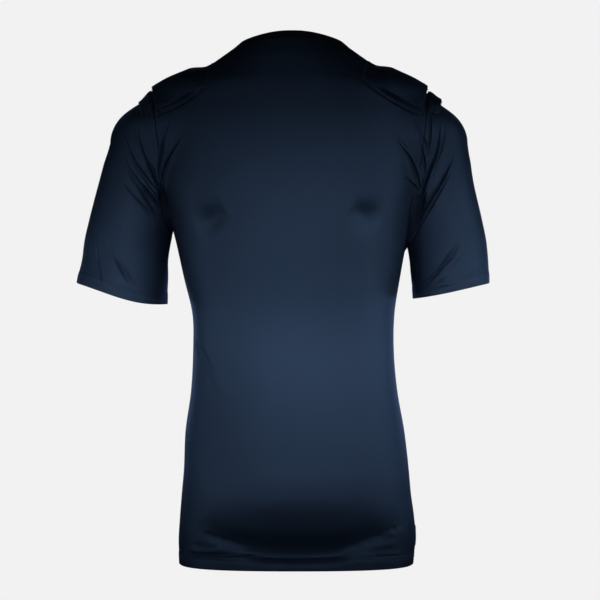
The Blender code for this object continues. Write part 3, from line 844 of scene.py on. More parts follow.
@dataclass(frozen=True)
class Crease:
    """One crease pressed into the cloth: a sharp trough between softer raised sides.

    Its points are x and z on one face of the shirt. peak is the share of its length at which
    it is deepest, and edge is how sharp the bottom of the trough is, the smaller the sharper.
    below is the share of its width that its lower side has, and a paired one has a twin on the
    other face.
    """

    points: tuple[tuple[float, float], ...]
    depth: float
    width: float
    peak: float = 0.5
    face: Face = Face.BACK
    edge: float = 0.30
    lip: float = 0.40
    below: float = 1.0
    paired: bool = True

    def twin(self, order: int) -> "Crease":
        """A like crease on the other face, a little off this one.

        Args:
            order: Its place in its table, from which its small changes come.

        Returns:
            The other crease.
        """
        turn = math.sin(1.7 * order + 0.6)
        rise = TWIN_RISE * math.cos(2.3 * order)
        nearer = TWIN_NEARER + TWIN_NEARER_RANGE * turn
        places = enumerate(self.points)
        points = tuple((x * nearer, z + rise - TWIN_FALL * i) for i, (x, z) in places)
        depth = self.depth * (TWIN_DEPTH + TWIN_DEPTH_RANGE * turn)
        width = self.width * TWIN_WIDTH
        return replace(self, points=points, depth=depth, width=width, face=Face.FRONT)

    def line(self, form: ShirtForm) -> Array:
        """The crease's middle line, laid on the form.

        Args:
            form: The form of the shirt.

        Returns:
            Points along the line.
        """
        flat = np.array(self.points)
        length = np.linalg.norm(np.diff(flat, axis=0), axis=1).sum()
        count = max(CREASE_POINTS, int(length / CREASE_SPACING))
        flat = curve_through(even(len(flat) - 1), flat, even(count))
        starts = np.stack([flat[:, 0], np.zeros(count + 1), flat[:, 1]], axis=-1)
        return form.cast(starts, np.tile([0.0, float(self.face), 0.0], (count + 1, 1)))

    def press(self, points: Array, line: Array) -> Array:
        """How far the crease presses the cloth in at points.

        Args:
            points: Points on the cloth, as rows.
            line: The crease's middle line.

        Returns:
            The depth at each point, less than 0 on the raised sides.
        """
        reach = CREASE_REACH * self.width
        near = ((points > line.min(0) - reach) & (points < line.max(0) + reach)).all(axis=1)
        found = points[near]
        start, step = line[:-1], np.diff(line, axis=0)
        gap = found[:, None, :] - start[None]
        share = np.clip((gap * step).sum(-1) / (step**2).sum(-1), 0.0, 1.0)
        away = np.linalg.norm(gap - share[..., None] * step, axis=-1)
        nearest = away.argmin(axis=1)
        rows = np.arange(len(found))
        along = (nearest + share[rows, nearest]) / len(step)
        waves = SLOW_WAVE[0] * np.sin(SLOW_WAVE[1] * along + WAVE_SHIFT * line[0, 0])
        waves = waves + QUICK_WAVE[0] * np.sin(QUICK_WAVE[1] * along)
        swell = 1 + min(1.0, UNEVEN_WIDTH / self.width) * waves
        drop = gap[rows, nearest, 2] - share[rows, nearest] * step[nearest, 2]
        swell *= np.where(drop < 0, self.below, 1.0)
        far = away[rows, nearest] / (self.width * swell)
        rising, falling = along / self.peak, (along - self.peak) / (1 - self.peak)
        before = np.sin(0.5 * math.pi * np.clip(rising, 0, 1)) ** START_POWER
        after = np.cos(0.5 * math.pi * np.clip(falling, 0, 1)) ** END_POWER
        taper = np.where(along < self.peak, before, after)
        trough = np.exp(self.edge - np.hypot(far, self.edge))
        raised = self.lip * bell(far, LIP_AT, LIP_WIDTH)
        out = np.zeros(len(points))
        out[near] = self.depth * taper * (trough * np.exp(-FADE * far**2) - raised)
        return out


# Each row is a crease: its depth in tenths and its width in hundredths of a millimetre, its peak,
# lip and edge in hundredths, then x and z of its points in tenths of a millimetre. A row that
# starts with # names those below it.
CREASE_ROWS = """
# Left sleeve, drawn to the underarm
44 125 70 40 30  -2074 -708  -2054 -896  -2000 -1071  -1919 -1286  -1839 -1501  -1798 -1595
24 90 60 40 30  -1919 -1192  -1865 -1326  -1825 -1447  -1792 -1568
51 135 60 40 30  -2262 -869  -2201 -1017  -2121 -1192  -2013 -1380  -1892 -1554  -1825 -1662
32 99 60 40 30  -2228 -1030  -2134 -1232  -2000 -1447  -1865 -1635  -1798 -1729
51 135 75 40 30  -2255 -1178  -2201 -1299  -2081 -1460  -1960 -1622  -1839 -1783  -1792 -1864
20 90 50 40 30  -2161 -1366  -2027 -1581  -1892 -1756
32 109 60 40 30  -2228 -1326  -2161 -1460  -2040 -1622  -1919 -1837  -1825 -1998
24 135 50 40 30  -2296 -1528  -2201 -1622  -2040 -1796  -1879 -1984
# Left side of the body
36 135 60 40 30  -1610 -627  -1664 -788  -1704 -950  -1731 -1084  -1771 -1286  -1792 -1514
44 125 50 40 30  -1395 -896  -1503 -1003  -1610 -1165  -1704 -1339  -1751 -1541
# Right sleeve, drawn to the underarm
24 94 50 40 30  1857 -520  1864 -681  1857 -882  1837 -1057  1831 -1178
56 140 65 40 30  1965 -681  1978 -869  1938 -1138  1857 -1353  1804 -1541  1736 -1756
20 109 50 40 30  2059 -681  2046 -896  2005 -1084  1938 -1259  1884 -1380
56 125 50 40 30  2207 -1084  2126 -1272  2019 -1501  1898 -1716  1777 -1944  1669 -2186
24 94 50 40 30  2193 -1192  2086 -1474  1951 -1716  1817 -1971  1710 -2159
15 90 50 40 30  1824 -1433  1790 -1595  1750 -1729
# Right side of the body
24 125 50 40 30  1602 -627  1683 -802  1777 -976  1831 -1111
29 109 60 40 30  1669 -896  1736 -1071  1777 -1218  1804 -1447
49 114 50 40 30  1374 -950  1454 -1044  1575 -1192  1669 -1380  1723 -1541  1743 -1648
15 109 50 40 30  1293 -815  1400 -923  1508 -1044  1589 -1151
41 109 60 40 30  1481 -1447  1575 -1501  1656 -1561  1716 -1648
15 90 50 40 30  1763 -1433  1770 -1541  1750 -1675
# Left cuff
29 109 60 40 30  -2484 -2334  -2390 -2522  -2309 -2683  -2201 -2872
20 99 60 40 30  -2390 -2455  -2282 -2630  -2188 -2777  -2107 -2898
32 135 70 40 30  -2645 -2186  -2632 -2428  -2591 -2670  -2551 -2912
20 90 50 40 30  -2685 -2818  -2618 -2885  -2551 -2952
# Right cuff
24 99 50 40 30  2261 -2280  2153 -2441  2046 -2603  1911 -2777  1777 -2925
36 109 60 40 30  2301 -2294  2193 -2482  2059 -2643  1925 -2791  1831 -2898
15 94 50 40 30  2382 -2428  2274 -2536  2153 -2683
15 90 50 40 30  2543 -2670  2476 -2710  2395 -2764
14 90 50 40 30  2140 -2777  2059 -2818  1978 -2872
24 90 50 40 30  2180 -2898  2072 -2912  1951 -2939
20 146 50 40 30  2516 -2186  2536 -2428  2529 -2670
# Waist and hem
26 450 50 40 60  -1328 -3544  -1140 -3950  -925 -4350
36 190 40 90 30  -1310 -6184  -934 -6301  -714 -6363
26 150 50 80 30  -1435 -6442  -1184 -6395  -714 -6363
34 190 50 90 30  -1404 -6520  -1028 -6499  -431 -6473
34 190 50 90 30  1480 -6120  1387 -6160  1168 -6238
30 170 50 90 30  1450 -6290  1200 -6285  917 -6316
34 190 50 90 30  1480 -6450  1200 -6440  886 -6417  728 -6396
"""


def read_creases(rows: str) -> tuple[Crease, ...]:
    """Turns rows of whole numbers into creases.

    Args:
        rows: The rows.

    Returns:
        The creases, in the order of the rows.
    """
    found = []
    for row in rows.splitlines():
        if row and not row.startswith("#"):
            depth, width, peak, lip, edge, *places = (int(word) for word in row.split())
            points = tuple((x / 1e4, z / 1e4) for x, z in zip(places[::2], places[1::2]))
            shape = {"peak": peak / 100, "lip": lip / 100, "edge": edge / 100}
            found.append(Crease(points, depth / 1e4, width / 1e5, **shape))
    return tuple(found)


CREASES = read_creases(CREASE_ROWS)

# The armpits, the shoulder blades and the hollow under the seat
HOLLOWS = (
    Crease(
        ((-0.1790, -0.1500), (-0.1752, -0.1660), (-0.1725, -0.1850),
         (-0.1696, -0.2010), (-0.1662, -0.2130)),
        0.0120, 0.0054, 0.62, edge=0.8,
    ),
    Crease(
        ((0.1790, -0.1500), (0.1752, -0.1700), (0.1705, -0.1950),
         (0.1668, -0.2130), (0.1625, -0.2290)),
        0.0120, 0.0054, 0.62, edge=0.8,
    ),
    Crease(
        ((-0.1280, -0.2140), (-0.1080, -0.2060), (-0.0860, -0.1930)),
        0.0078, 0.0150, 0.50, edge=1.2, lip=0.0, below=0.8, paired=False,
    ),
    Crease(
        ((0.1180, -0.2110), (0.1000, -0.2010), (0.0780, -0.1890)),
        0.0078, 0.0145, 0.50, edge=1.2, lip=0.0, below=0.8, paired=False,
    ),
    Crease(
        ((-0.1500, -0.6020), (-0.1150, -0.6190), (-0.0777, -0.6365), (-0.0431, -0.6492),
         (0.0057, -0.6520), (0.0567, -0.6492), (0.0782, -0.6410),
         (0.1185, -0.6241), (0.1560, -0.6050)),
        0.0112, 0.0200, 0.50, edge=0.8, lip=0.0, below=0.36, paired=False,
    ),
)


@dataclass(eq=False)
class Creases:
    """All the creases of the shirt, those of the back and their like on the front."""

    form: ShirtForm

    deepest: float = 0.0055
    highest: float = 0.0012

    def pressed(self, creases: tuple[Crease, ...], points: Array) -> Array:
        """How far some creases and their like on the front press the cloth in at points."""
        twins = [crease.twin(order) for order, crease in enumerate(creases) if crease.paired]
        return sum(crease.press(points, crease.line(self.form)) for crease in [*creases, *twins])

    def depth(self, points: Array) -> Array:
        """How far all the creases together press the cloth in at points.

        Args:
            points: The points.

        Returns:
            One depth for each point.
        """
        flat = points.reshape(-1, 3)
        total = self.pressed(CREASES, flat)
        limit = np.where(total > 0, self.deepest, self.highest)
        total = limit * np.tanh(total / limit) + np.maximum(self.pressed(HOLLOWS, flat), 0.0)
        return total.reshape(points.shape[:-1])


class Wire:
    """One number in a material's nodes. Arithmetic on it adds Math nodes."""

    def __init__(self, board: "Board", socket: bpy.types.NodeSocket) -> None:
        """Keeps the socket and the board that it is on."""
        self.board = board
        self.socket = socket

    def math(self, operation: str, *others: "Wire | float") -> "Wire":
        """Adds one Math node.

        Args:
            operation: The node's operation.
            others: The values after this one.

        Returns:
            Its result.
        """
        values = dict(enumerate((self, *others)))
        node = self.board.node("ShaderNodeMath", {"operation": operation}, values)
        return Wire(self.board, node.outputs[0])

    def turned(self, operation: str, other: float) -> "Wire":
        """The same with the other value in front."""
        node = self.board.node("ShaderNodeMath", {"operation": operation}, {0: other, 1: self})
        return Wire(self.board, node.outputs[0])

    def __add__(self, other: "Wire | float") -> "Wire":
        """This plus another."""
        return self.math("ADD", other)

    def __sub__(self, other: "Wire | float") -> "Wire":
        """This less another."""
        return self.math("SUBTRACT", other)

    def __mul__(self, other: "Wire | float") -> "Wire":
        """This times another."""
        return self.math("MULTIPLY", other)

    def __rsub__(self, other: float) -> "Wire":
        """Another less this."""
        return self.turned("SUBTRACT", other)

    __radd__ = __add__
    __rmul__ = __mul__

    def wave(self) -> "Wire":
        """The sine of this."""
        return self.math("SINE")

    def size(self) -> "Wire":
        """This without its sign."""
        return self.math("ABSOLUTE")


class Board:
    """The nodes of one material."""

    def __init__(self, name: str) -> None:
        """Starts a material with its Principled shader.

        Args:
            name: The material's name.
        """
        self.material = bpy.data.materials.new(name)
        self.material.use_nodes = True
        self.tree = self.material.node_tree
        self.shader = self.tree.nodes["Principled BSDF"]

    def node(
        self, kind: str, settings: dict[str, object], inputs: dict[object, object]
    ) -> bpy.types.Node:
        """Adds a node, as add_node does."""
        return add_node(self.tree, kind, settings, inputs)

    def dress(self, inputs: dict[str, object]) -> None:
        """Feeds inputs of the shader by name."""
        for name, value in inputs.items():
            feed(self.tree, self.shader.inputs[name], value)

    def cloth_metres(self) -> tuple[Wire, Wire]:
        """Across and along the cloth in metres.

        Returns:
            Both as wires.
        """
        places = self.node("ShaderNodeUVMap", {"uv_map": UV_NAME}, {})
        parts = self.node("ShaderNodeSeparateXYZ", {}, {0: places.outputs[0]})
        return Wire(self, parts.outputs[0]), Wire(self, parts.outputs[1])

    def noise(self, scale: float, detail: float) -> Wire:
        """Smooth noise with a mean of about a half.

        Args:
            scale: How many lumps there are to a metre.
            detail: How many finer layers it has.

        Returns:
            Its value.
        """
        places = self.node("ShaderNodeTexCoord", {}, {}).outputs["Object"]
        values = {"Vector": places, "Scale": scale, "Detail": detail}
        return Wire(self, self.node("ShaderNodeTexNoise", {}, values).outputs[0])

    def mixed(self, share: Wire, low: "Tint", high: "Tint") -> bpy.types.NodeSocket:
        """A colour between two."""
        inputs = {"Factor": share, 6: (*low, 1.0), 7: (*high, 1.0)}
        return self.node("ShaderNodeMix", {"data_type": "RGBA"}, inputs).outputs[2]

    def bump(self, height: Wire, depth: float, strength: float) -> None:
        """Raises the surface by a height, in metres at 1.

        Args:
            height: The height.
            depth: How deep it is at 1.
            strength: How much of it shows.
        """
        values = {"Height": height, "Distance": depth, "Strength": strength}
        node = self.node("ShaderNodeBump", {}, values)
        self.dress({"Normal": node.outputs[0]})


@dataclass(frozen=True)
class KnitFinish:
    """A fine stretch knit: wales and courses, with a satin lustre and soft unevenness."""

    name: str
    dark: Tint = (0.026, 0.046, 0.088)
    light: Tint = (0.031, 0.055, 0.104)
    roughness: float = 0.54
    metallic: float = 0.80
    specular: float = 0.15
    grazing: Tint = (0.25, 0.34, 0.50)
    wale: float = 0.0009
    course: float = 0.0007
    loop_depth: float = 0.00012
    loop_strength: float = 0.35
    loop_bend: float = 1.6
    course_share: float = 0.45
    blotch: float = 14.0
    unevenness: float = 0.10

    def material(self) -> bpy.types.Material:
        """Builds the material.

        Returns:
            The material.
        """
        board = Board(self.name)
        across, along = board.cloth_metres()
        blotch = board.noise(self.blotch, 3.0)
        board.dress(
            {
                "Base Color": board.mixed(blotch, self.dark, self.light),
                "Roughness": self.roughness + self.unevenness * (blotch - 0.5),
                "Metallic": self.metallic,
                "Specular IOR Level": self.specular,
                "Specular Tint": (*self.grazing, 1.0),
            }
        )
        wales = (across * (math.pi / self.wale)).wave().size()
        courses = (along * (2 * math.pi / self.course) + wales * self.loop_bend).wave()
        board.bump(wales + self.course_share * courses, self.loop_depth, self.loop_strength)
        return board.material


@dataclass(frozen=True)
class RibFinish:
    """A rib knit with plain upright ribs and a dull surface, with painted shade in the hollows
    between the ribs.
    """

    name: str
    # Colours of the rib hollows and the rib tops: the darker hollow colour is painted shade
    dark: Tint = (0.008, 0.014, 0.026)
    light: Tint = (0.012, 0.020, 0.038)
    roughness: float = 0.8
    specular: float = 0.2
    rib: float = 0.0017
    rib_depth: float = 0.0005
    rib_strength: float = 0.6
    blotch: float = 60.0
    unevenness: float = 0.1

    def material(self) -> bpy.types.Material:
        """Builds the material.

        Returns:
            The material.
        """
        board = Board(self.name)
        across, _ = board.cloth_metres()
        ribs = (across * (math.pi / self.rib)).wave().size()
        board.dress(
            {
                # Base Color follows the rib heights, darker in the hollows between the ribs:
                # painted shade
                "Base Color": board.mixed(ribs, self.dark, self.light),
                "Roughness": self.roughness
                + self.unevenness * (board.noise(self.blotch, 2.0) - 0.5),
                "Specular IOR Level": self.specular,
            }
        )
        board.bump(ribs, self.rib_depth, self.rib_strength)
        return board.material


@dataclass(frozen=True)
class ThreadFinish:
    """Polyester sewing thread."""

    name: str
    dark: Tint = (0.016, 0.028, 0.052)
    light: Tint = (0.075, 0.105, 0.160)
    roughness: float = 0.45
    twist: float = 900.0
    unevenness: float = 0.2

    def material(self) -> bpy.types.Material:
        """Builds the material.

        Returns:
            The material.
        """
        board = Board(self.name)
        twist = board.noise(self.twist, 1.0)
        board.dress(
            {
                "Base Color": board.mixed(twist, self.dark, self.light),
                "Roughness": self.roughness + self.unevenness * (twist - 0.5),
            }
        )
        return board.material


@dataclass(frozen=True)
class Shell:
    """A thin closed piece between an inner and an outer grid of points.

    Only every few rows and columns of the inner grid are used, because little of it shows.
    """

    inner: Array
    outer: Array
    closed: bool
    step: int = 3
    uv_start: tuple[float, float] = (0.25, 0.02)
    uv_inside: float = 0.5

    def metres(self) -> Array:
        """The distance across and along the outer face at each corner of the grid.

        Returns:
            A grid with both distances.
        """
        outer = self.outer
        if self.closed:
            outer = np.concatenate([outer, outer[:, :1]], axis=1)
        across = lengths_along(outer, 1)
        across -= across[:, outer.shape[1] // 2, None]
        start_across, start_along = self.uv_start
        return np.stack([start_across + across, start_along + lengths_along(outer, 0)], axis=-1)

    def picks(self, last: int) -> Array:
        """The rows or columns that the inner face uses, up to the last one."""
        return np.array([*range(0, last, self.step), last])

    @staticmethod
    def quads(face: int, rows: Array, columns: Array) -> Array:
        """The quads of one face.

        Args:
            face: 1 for the outer face, 0 for the inner one.
            rows: The rows that it uses.
            columns: The columns that it uses.

        Returns:
            For each corner of each quad, its face, row and column.
        """
        r, c = np.meshgrid(np.arange(len(rows) - 1), np.arange(len(columns) - 1), indexing="ij")
        r, c, faces = r.ravel(), c.ravel(), np.full(r.size, face)
        over = ((0, 0), (0, 1), (1, 1), (1, 0))
        return np.stack([np.stack([faces, rows[r + i], columns[c + j]], -1) for i, j in over], 1)

    def rims(self, rows: Array, columns: Array) -> list[Array]:
        """The faces that join the inner and the outer face along the edges.

        Args:
            rows: The rows that the inner face uses.
            columns: The columns that it uses.

        Returns:
            The corners of each face, as face, row and column.
        """
        found = []
        for axis, (picks, far) in enumerate(((columns, rows), (rows, columns))):
            if axis == 1 and self.closed:
                break
            last = int(far[-1])
            for low, high in zip(picks[:-1], picks[1:]):
                for line, inward in ((0, 1), (last, last - 1)):
                    edge = [(1, line, at) for at in range(low, high + 1)]
                    edge = np.array([*edge, (0, line, high), (0, line, low)])
                    near = (inward, int(low))
                    if axis == 1:
                        edge, near = edge[:, [0, 2, 1]], near[::-1]
                    found.append(self.facing_out(edge, near))
        return found

    def place(self, face: int, row: int, column: int) -> Array:
        """One point of the inner or the outer grid."""
        grid = self.outer if face else self.inner
        return grid[row, column % grid.shape[1]]

    def facing_out(self, corners: Array, inward: tuple[int, int]) -> Array:
        """Turns a rim's face so that it faces away from the grid's inside.

        Args:
            corners: The face, row and column of each of its corners.
            inward: The row and column of a point next to it, further in.

        Returns:
            The corners, turned round if need be.
        """
        first, far, low = (self.place(*corners[i]) for i in (0, -3, -1))
        normal = np.cross(far - first, low - first)
        away = first + low - self.place(1, *inward) - self.place(0, *inward)
        return corners if np.dot(normal, away) > 0 else corners[::-1]

    def build(self, name: str, material: bpy.types.Material) -> bpy.types.Object:
        """Makes the piece.

        Args:
            name: Its name.
            material: Its finish.

        Returns:
            The object, at the origin, with its place in its mesh.
        """
        rows, columns = self.outer.shape[:2]
        last_column = columns if self.closed else columns - 1
        row_picks, column_picks = self.picks(rows - 1), self.picks(last_column)
        outside = self.quads(1, np.arange(rows), np.arange(last_column + 1))
        inside = self.quads(0, row_picks, column_picks)[:, ::-1]
        a, b = self.outer[1, 1] - self.outer[0, 0], self.outer[1, 0] - self.outer[0, 1]
        if np.dot(np.cross(a, b), (self.outer - self.inner)[0, 0]) > 0:
            outside, inside = outside[:, ::-1], inside[:, ::-1]
        faces = [*outside, *inside, *self.rims(row_picks, column_picks)]
        inner_columns = column_picks[:-1] if self.closed else column_picks
        used = np.ix_(row_picks, inner_columns)
        number = np.zeros((2, rows, columns), int)
        number[1] = np.arange(rows * columns).reshape(rows, columns)
        inner_count = len(row_picks) * len(inner_columns)
        number[0][used] = rows * columns + np.arange(inner_count).reshape(len(row_picks), -1)
        corners = np.concatenate(faces)
        index = number[corners[:, 0], corners[:, 1], corners[:, 2] % columns]
        ends = np.cumsum([len(face) for face in faces])[:-1]
        points = np.concatenate([self.outer.reshape(-1, 3), self.inner[used].reshape(-1, 3)])
        mesh = bpy.data.meshes.new(name)
        mesh.from_pydata(points.tolist(), [], [part.tolist() for part in np.split(index, ends)])
        metres = self.metres()[corners[:, 1], corners[:, 2]]
        metres[:, 0] += self.uv_inside * (corners[:, 0] == 0)
        layer = mesh.uv_layers.new(name=UV_NAME)
        layer.data.foreach_set("uv", metres.astype(np.float32).ravel())
        mesh.shade_smooth()
        mesh.materials.append(material)
        return add_object(name, mesh)


# How much a stitch's length varies, and how much wider than high a thread lies
LENGTH_RANGE = (0.88, 1.08)
THREAD_FLATNESS = 1.3


@dataclass(eq=False)
class Stitching:
    """Rows of stitches laid along lines on the cloth by one Geometry Nodes tree."""

    name: str
    lines: list[tuple[Array, Array, bool]]
    spacing: float = 0.0030
    length: float = 0.0022
    thread: float = 0.00045
    slant: float = 0.0
    seed: int = 7

    @staticmethod
    @functools.cache
    def tree() -> bpy.types.NodeTree:
        """Builds the tree that lays a stitch on points along each line.

        Returns:
            The tree. Each stitch is turned to its line and to the way out of the cloth.
        """
        tree = bpy.data.node_groups.new("stitches_along_lines", "GeometryNodeTree")
        face = tree.interface
        face.new_socket("Geometry", in_out="INPUT", socket_type="NodeSocketGeometry")
        for name in ("Spacing", "Length", "Thread", "Slant"):
            face.new_socket(name, in_out="INPUT", socket_type="NodeSocketFloat")
        face.new_socket("Seed", in_out="INPUT", socket_type="NodeSocketInt")
        face.new_socket("Finish", in_out="INPUT", socket_type="NodeSocketMaterial")
        face.new_socket("Geometry", in_out="OUTPUT", socket_type="NodeSocketGeometry")

        def add(
            kind: str, inputs: dict[object, object], **settings: object
        ) -> bpy.types.NodeSocket:
            """Adds one node with its settings and inputs, and gives its first output."""
            return add_node(tree, kind, settings, inputs).outputs[0]

        def sum_of(operation: str, *values: object) -> bpy.types.NodeSocket:
            """Adds one Math node."""
            return add("ShaderNodeMath", dict(enumerate(values)), operation=operation)

        given = add_node(tree, "NodeGroupInput", {}, {}).outputs
        curve = add("GeometryNodeMeshToCurve", {"Mesh": given["Geometry"]})
        values = {"Curve": curve, "Length": given["Spacing"]}
        steps = add("GeometryNodeResampleCurve", values, mode="LENGTH")
        stitch = add("GeometryNodeMeshUVSphere", {"Segments": 5, "Rings": 3, "Radius": 0.5})
        along = add("GeometryNodeInputTangent", {})
        out = add("GeometryNodeInputNamedAttribute", {"Name": OUT_NAME}, data_type="FLOAT_VECTOR")
        first = add("FunctionNodeAlignRotationToVector", {"Vector": along}, axis="X")
        values = {"Rotation": first, "Vector": out}
        laid = add("FunctionNodeAlignRotationToVector", values, axis="Z", pivot_axis="X")
        odd = sum_of("MODULO", add("GeometryNodeInputIndex", {}), 2.0)
        turn = sum_of("MULTIPLY", sum_of("MULTIPLY_ADD", odd, 2.0, -1.0), given["Slant"])
        values = {"Rotation": laid, "Rotate By": add("ShaderNodeCombineXYZ", {"Z": turn})}
        turned = add("FunctionNodeRotateRotation", values, rotation_space="LOCAL")
        chance = add_node(tree, "FunctionNodeRandomValue", {"data_type": "FLOAT"}, {})
        tree.links.new(given["Seed"], chance.inputs["Seed"])
        for socket, value in zip([s for s in chance.inputs if s.enabled][:2], LENGTH_RANGE):
            socket.default_value = value
        amount = next(socket for socket in chance.outputs if socket.enabled)
        long = sum_of("MULTIPLY", given["Length"], amount)
        wide = sum_of("MULTIPLY", given["Thread"], THREAD_FLATNESS)
        size = add("ShaderNodeCombineXYZ", {"X": long, "Y": wide, "Z": given["Thread"]})
        values = {"Points": steps, "Instance": stitch, "Rotation": turned, "Scale": size}
        real = add("GeometryNodeRealizeInstances", {0: add("GeometryNodeInstanceOnPoints", values)})
        values = {"Geometry": real, "Material": given["Finish"]}
        add_node(tree, "NodeGroupOutput", {}, {0: add("GeometryNodeSetMaterial", values)})
        return tree

    def path(self) -> bpy.types.Object:
        """The lines as one mesh of edges, with the way out of the cloth at each point.

        Returns:
            The object that holds it.
        """
        points, edges, outs, count = [], [], [], 0
        for line, out, ring in self.lines:
            ends = len(line) if ring else len(line) - 1
            edges += [(count + i, count + (i + 1) % len(line)) for i in range(ends)]
            points += line.tolist()
            outs.append(out)
            count += len(line)
        mesh = bpy.data.meshes.new(self.name + "_line")
        mesh.from_pydata(points, edges, [])
        attribute = mesh.attributes.new(OUT_NAME, "FLOAT_VECTOR", "POINT")
        attribute.data.foreach_set("vector", np.concatenate(outs).astype(np.float32).ravel())
        return add_object(self.name + "_line", mesh)

    def build(self, material: bpy.types.Material) -> bpy.types.Object:
        """Lays the stitches and makes them a plain mesh.

        Args:
            material: The thread's finish.

        Returns:
            The object that holds all of them.
        """
        path = self.path()
        modifier = path.modifiers.new("stitches", "NODES")
        modifier.node_group = self.tree()
        values = {
            "Spacing": self.spacing,
            "Length": self.length,
            "Thread": self.thread,
            "Slant": self.slant,
            "Seed": self.seed,
            "Finish": material,
        }
        for item in modifier.node_group.interface.items_tree:
            if item.in_out == "INPUT" and item.name in values:
                modifier[item.identifier] = values[item.name]
        graph = bpy.context.evaluated_depsgraph_get()
        mesh = bpy.data.meshes.new_from_object(path.evaluated_get(graph))
        mesh.name = self.name
        bpy.data.objects.remove(path)
        mesh.shade_smooth()
        return add_object(self.name, mesh)


@dataclass(eq=False)
class Garment:
    """What the sewn pieces share: the cut, the creases and how a piece takes its place."""

    cut: ShirtCut
    creases: Creases
    thread: bpy.types.Material

    hem_depth: float = 0.016
    hem_extra: float = 0.0007
    hem_step: float = 0.0012
    edge_round: float = 0.0009
    edge_share: float = 0.45
    groove: float = 0.0004
    groove_width: float = 0.0009
    groove_in: float = 0.0022
    reach_behind: int = 4
    seam_gap: float = 0.0004
    seam_slant: float = 0.0010
    crease_end: tuple[float, float] = (0.004, 0.018)
    slack: float = 0.0003
    hem_rows: tuple[float, ...] = (0.0138, 0.0108)
    seam_rows: tuple[float, ...] = (0.0024,)
    neck_row: float = 0.0030

    def edge_thickness(self, far: Array, turned: Array) -> Array:
        """The cloth's thickness near its edges.

        Args:
            far: How far each point lies from the nearest edge.
            turned: How far it lies from the turned edge.

        Returns:
            The thickness, fuller in the turned hem and rounded at every edge.
        """
        start = self.hem_depth - self.hem_step / 2
        hem = 1 - soft_step(turned, start, start + self.hem_step)
        groove = self.groove * bell(turned, self.hem_depth - self.groove_in, self.groove_width)
        full = self.cut.form.wall + self.hem_extra * hem - groove
        rounding = quarter_round(far / self.edge_round)
        return full * (self.edge_share + (1 - self.edge_share) * rounding)

    def wrapped(
        self, base: Array, normal: Array, thick: Array, turned: Array
    ) -> tuple[Array, Array]:
        """The inner and the outer grid of a piece, with the creases pressed in.

        Args:
            base: The grid on the form.
            normal: The way out of the cloth at each point.
            thick: The cloth's thickness at each point.
            turned: How far each point lies from the turned edge.

        Returns:
            Both grids, the inner one kept behind the deepest places near it.
        """
        depth = self.creases.depth(base) * soft_step(turned, *self.crease_end)
        behind = np.maximum(broadened(depth, self.reach_behind), 0.0) + self.slack
        return base - normal * behind[..., None], base + normal * (thick - depth)[..., None]

    def seat(self, made: bpy.types.Object, node: str, slot: str) -> bpy.types.Object:
        """Lets a piece stand for its solid, which it hides, and hangs it on the root.

        Args:
            made: The piece.
            node: The node of its solid.
            slot: The slot; not used.

        Returns:
            The piece.
        """
        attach(made, "root")
        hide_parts(node)
        log.info("%s: %d faces", made.name, len(made.data.polygons))
        return made

    def sew(self, stitching: Stitching) -> bpy.types.Object:
        """Lays a set of stitches and lets it ride on the shirt.

        Args:
            stitching: The stitches.

        Returns:
            The object that holds them.
        """
        made = stitching.build(self.thread)
        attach(made, "root")
        log.info("%s: %d faces", made.name, len(made.data.polygons))
        return made


@dataclass(eq=False)
class Panel(Garment):
    """The back or the front of the shirt, in one piece from side seam to side seam."""

    face: Face = Face.BACK
    flat: tuple[float, float] = (0.50, 0.74)
    flat_area: float = 0.265

    @property
    def word(self) -> str:
        """Which panel it is, as it stands in names."""
        return self.face.name.lower()

    def grids(self) -> tuple[Array, Array]:
        """The inner and the outer grid of the panel.

        Returns:
            Both grids, with rows from the hem up.
        """
        cut = self.cut
        left, right = cut.half_panel(Side.LEFT, self.face), cut.half_panel(Side.RIGHT, self.face)
        base = np.concatenate([left[:, :0:-1], right], axis=1)
        normal = cut.form.outward(base)
        across, along = lengths_along(base, 1), lengths_along(base, 0)
        far = np.minimum.reduce([across, across[:, -1:] - across, along, along[-1:] - along])
        both = self.wrapped(base, normal, self.edge_thickness(far, along), along)
        gap = self.seam_gap / 2
        edge = len(left) - cut.high_count - 1
        shoulder = cut.shoulder_columns
        for grid, slant in zip(both, (self.seam_slant, 0.0)):
            for column, side in ((0, Side.LEFT), (-1, Side.RIGHT)):
                grid[:edge, column, 1] += self.face * gap + slant
                grid[edge:, column] -= cut.armhole_across(side) * (gap - slant)
            grid[-1, :shoulder, 1] += self.face * gap + slant
            grid[-1, -shoulder:, 1] += self.face * gap + slant
        return both

    def build(self, finish: KnitFinish) -> bpy.types.Object:
        """Makes the panel with its hem stitches.

        Args:
            finish: The cloth's finish.

        Returns:
            The panel.
        """
        inner, outer = self.grids()
        made = Shell(inner, outer, closed=False).build(f"{self.word}_cloth", finish.material())
        self.seat(made, f"{self.word}_panel", "shirt_cloth")
        normal = unit(outer - inner)
        lines = []
        for depth in self.hem_rows:
            row = round(depth / self.cut.edge_zone * self.cut.edge_count)
            lines.append((outer[row], normal[row], False))
        for depth in self.seam_rows:
            column = inset(outer, 1, depth)
            for at in (column, outer.shape[1] - 1 - column):
                lines.append((outer[2:-1, at], normal[2:-1, at], False))
        row = -1 - inset(outer[::-1], 0, self.neck_row)
        neck = slice(self.cut.shoulder_columns, -self.cut.shoulder_columns)
        lines.append((outer[row, neck], normal[row, neck], False))
        stitches = self.sew(Stitching(f"{self.word}_stitches", lines))
        return made


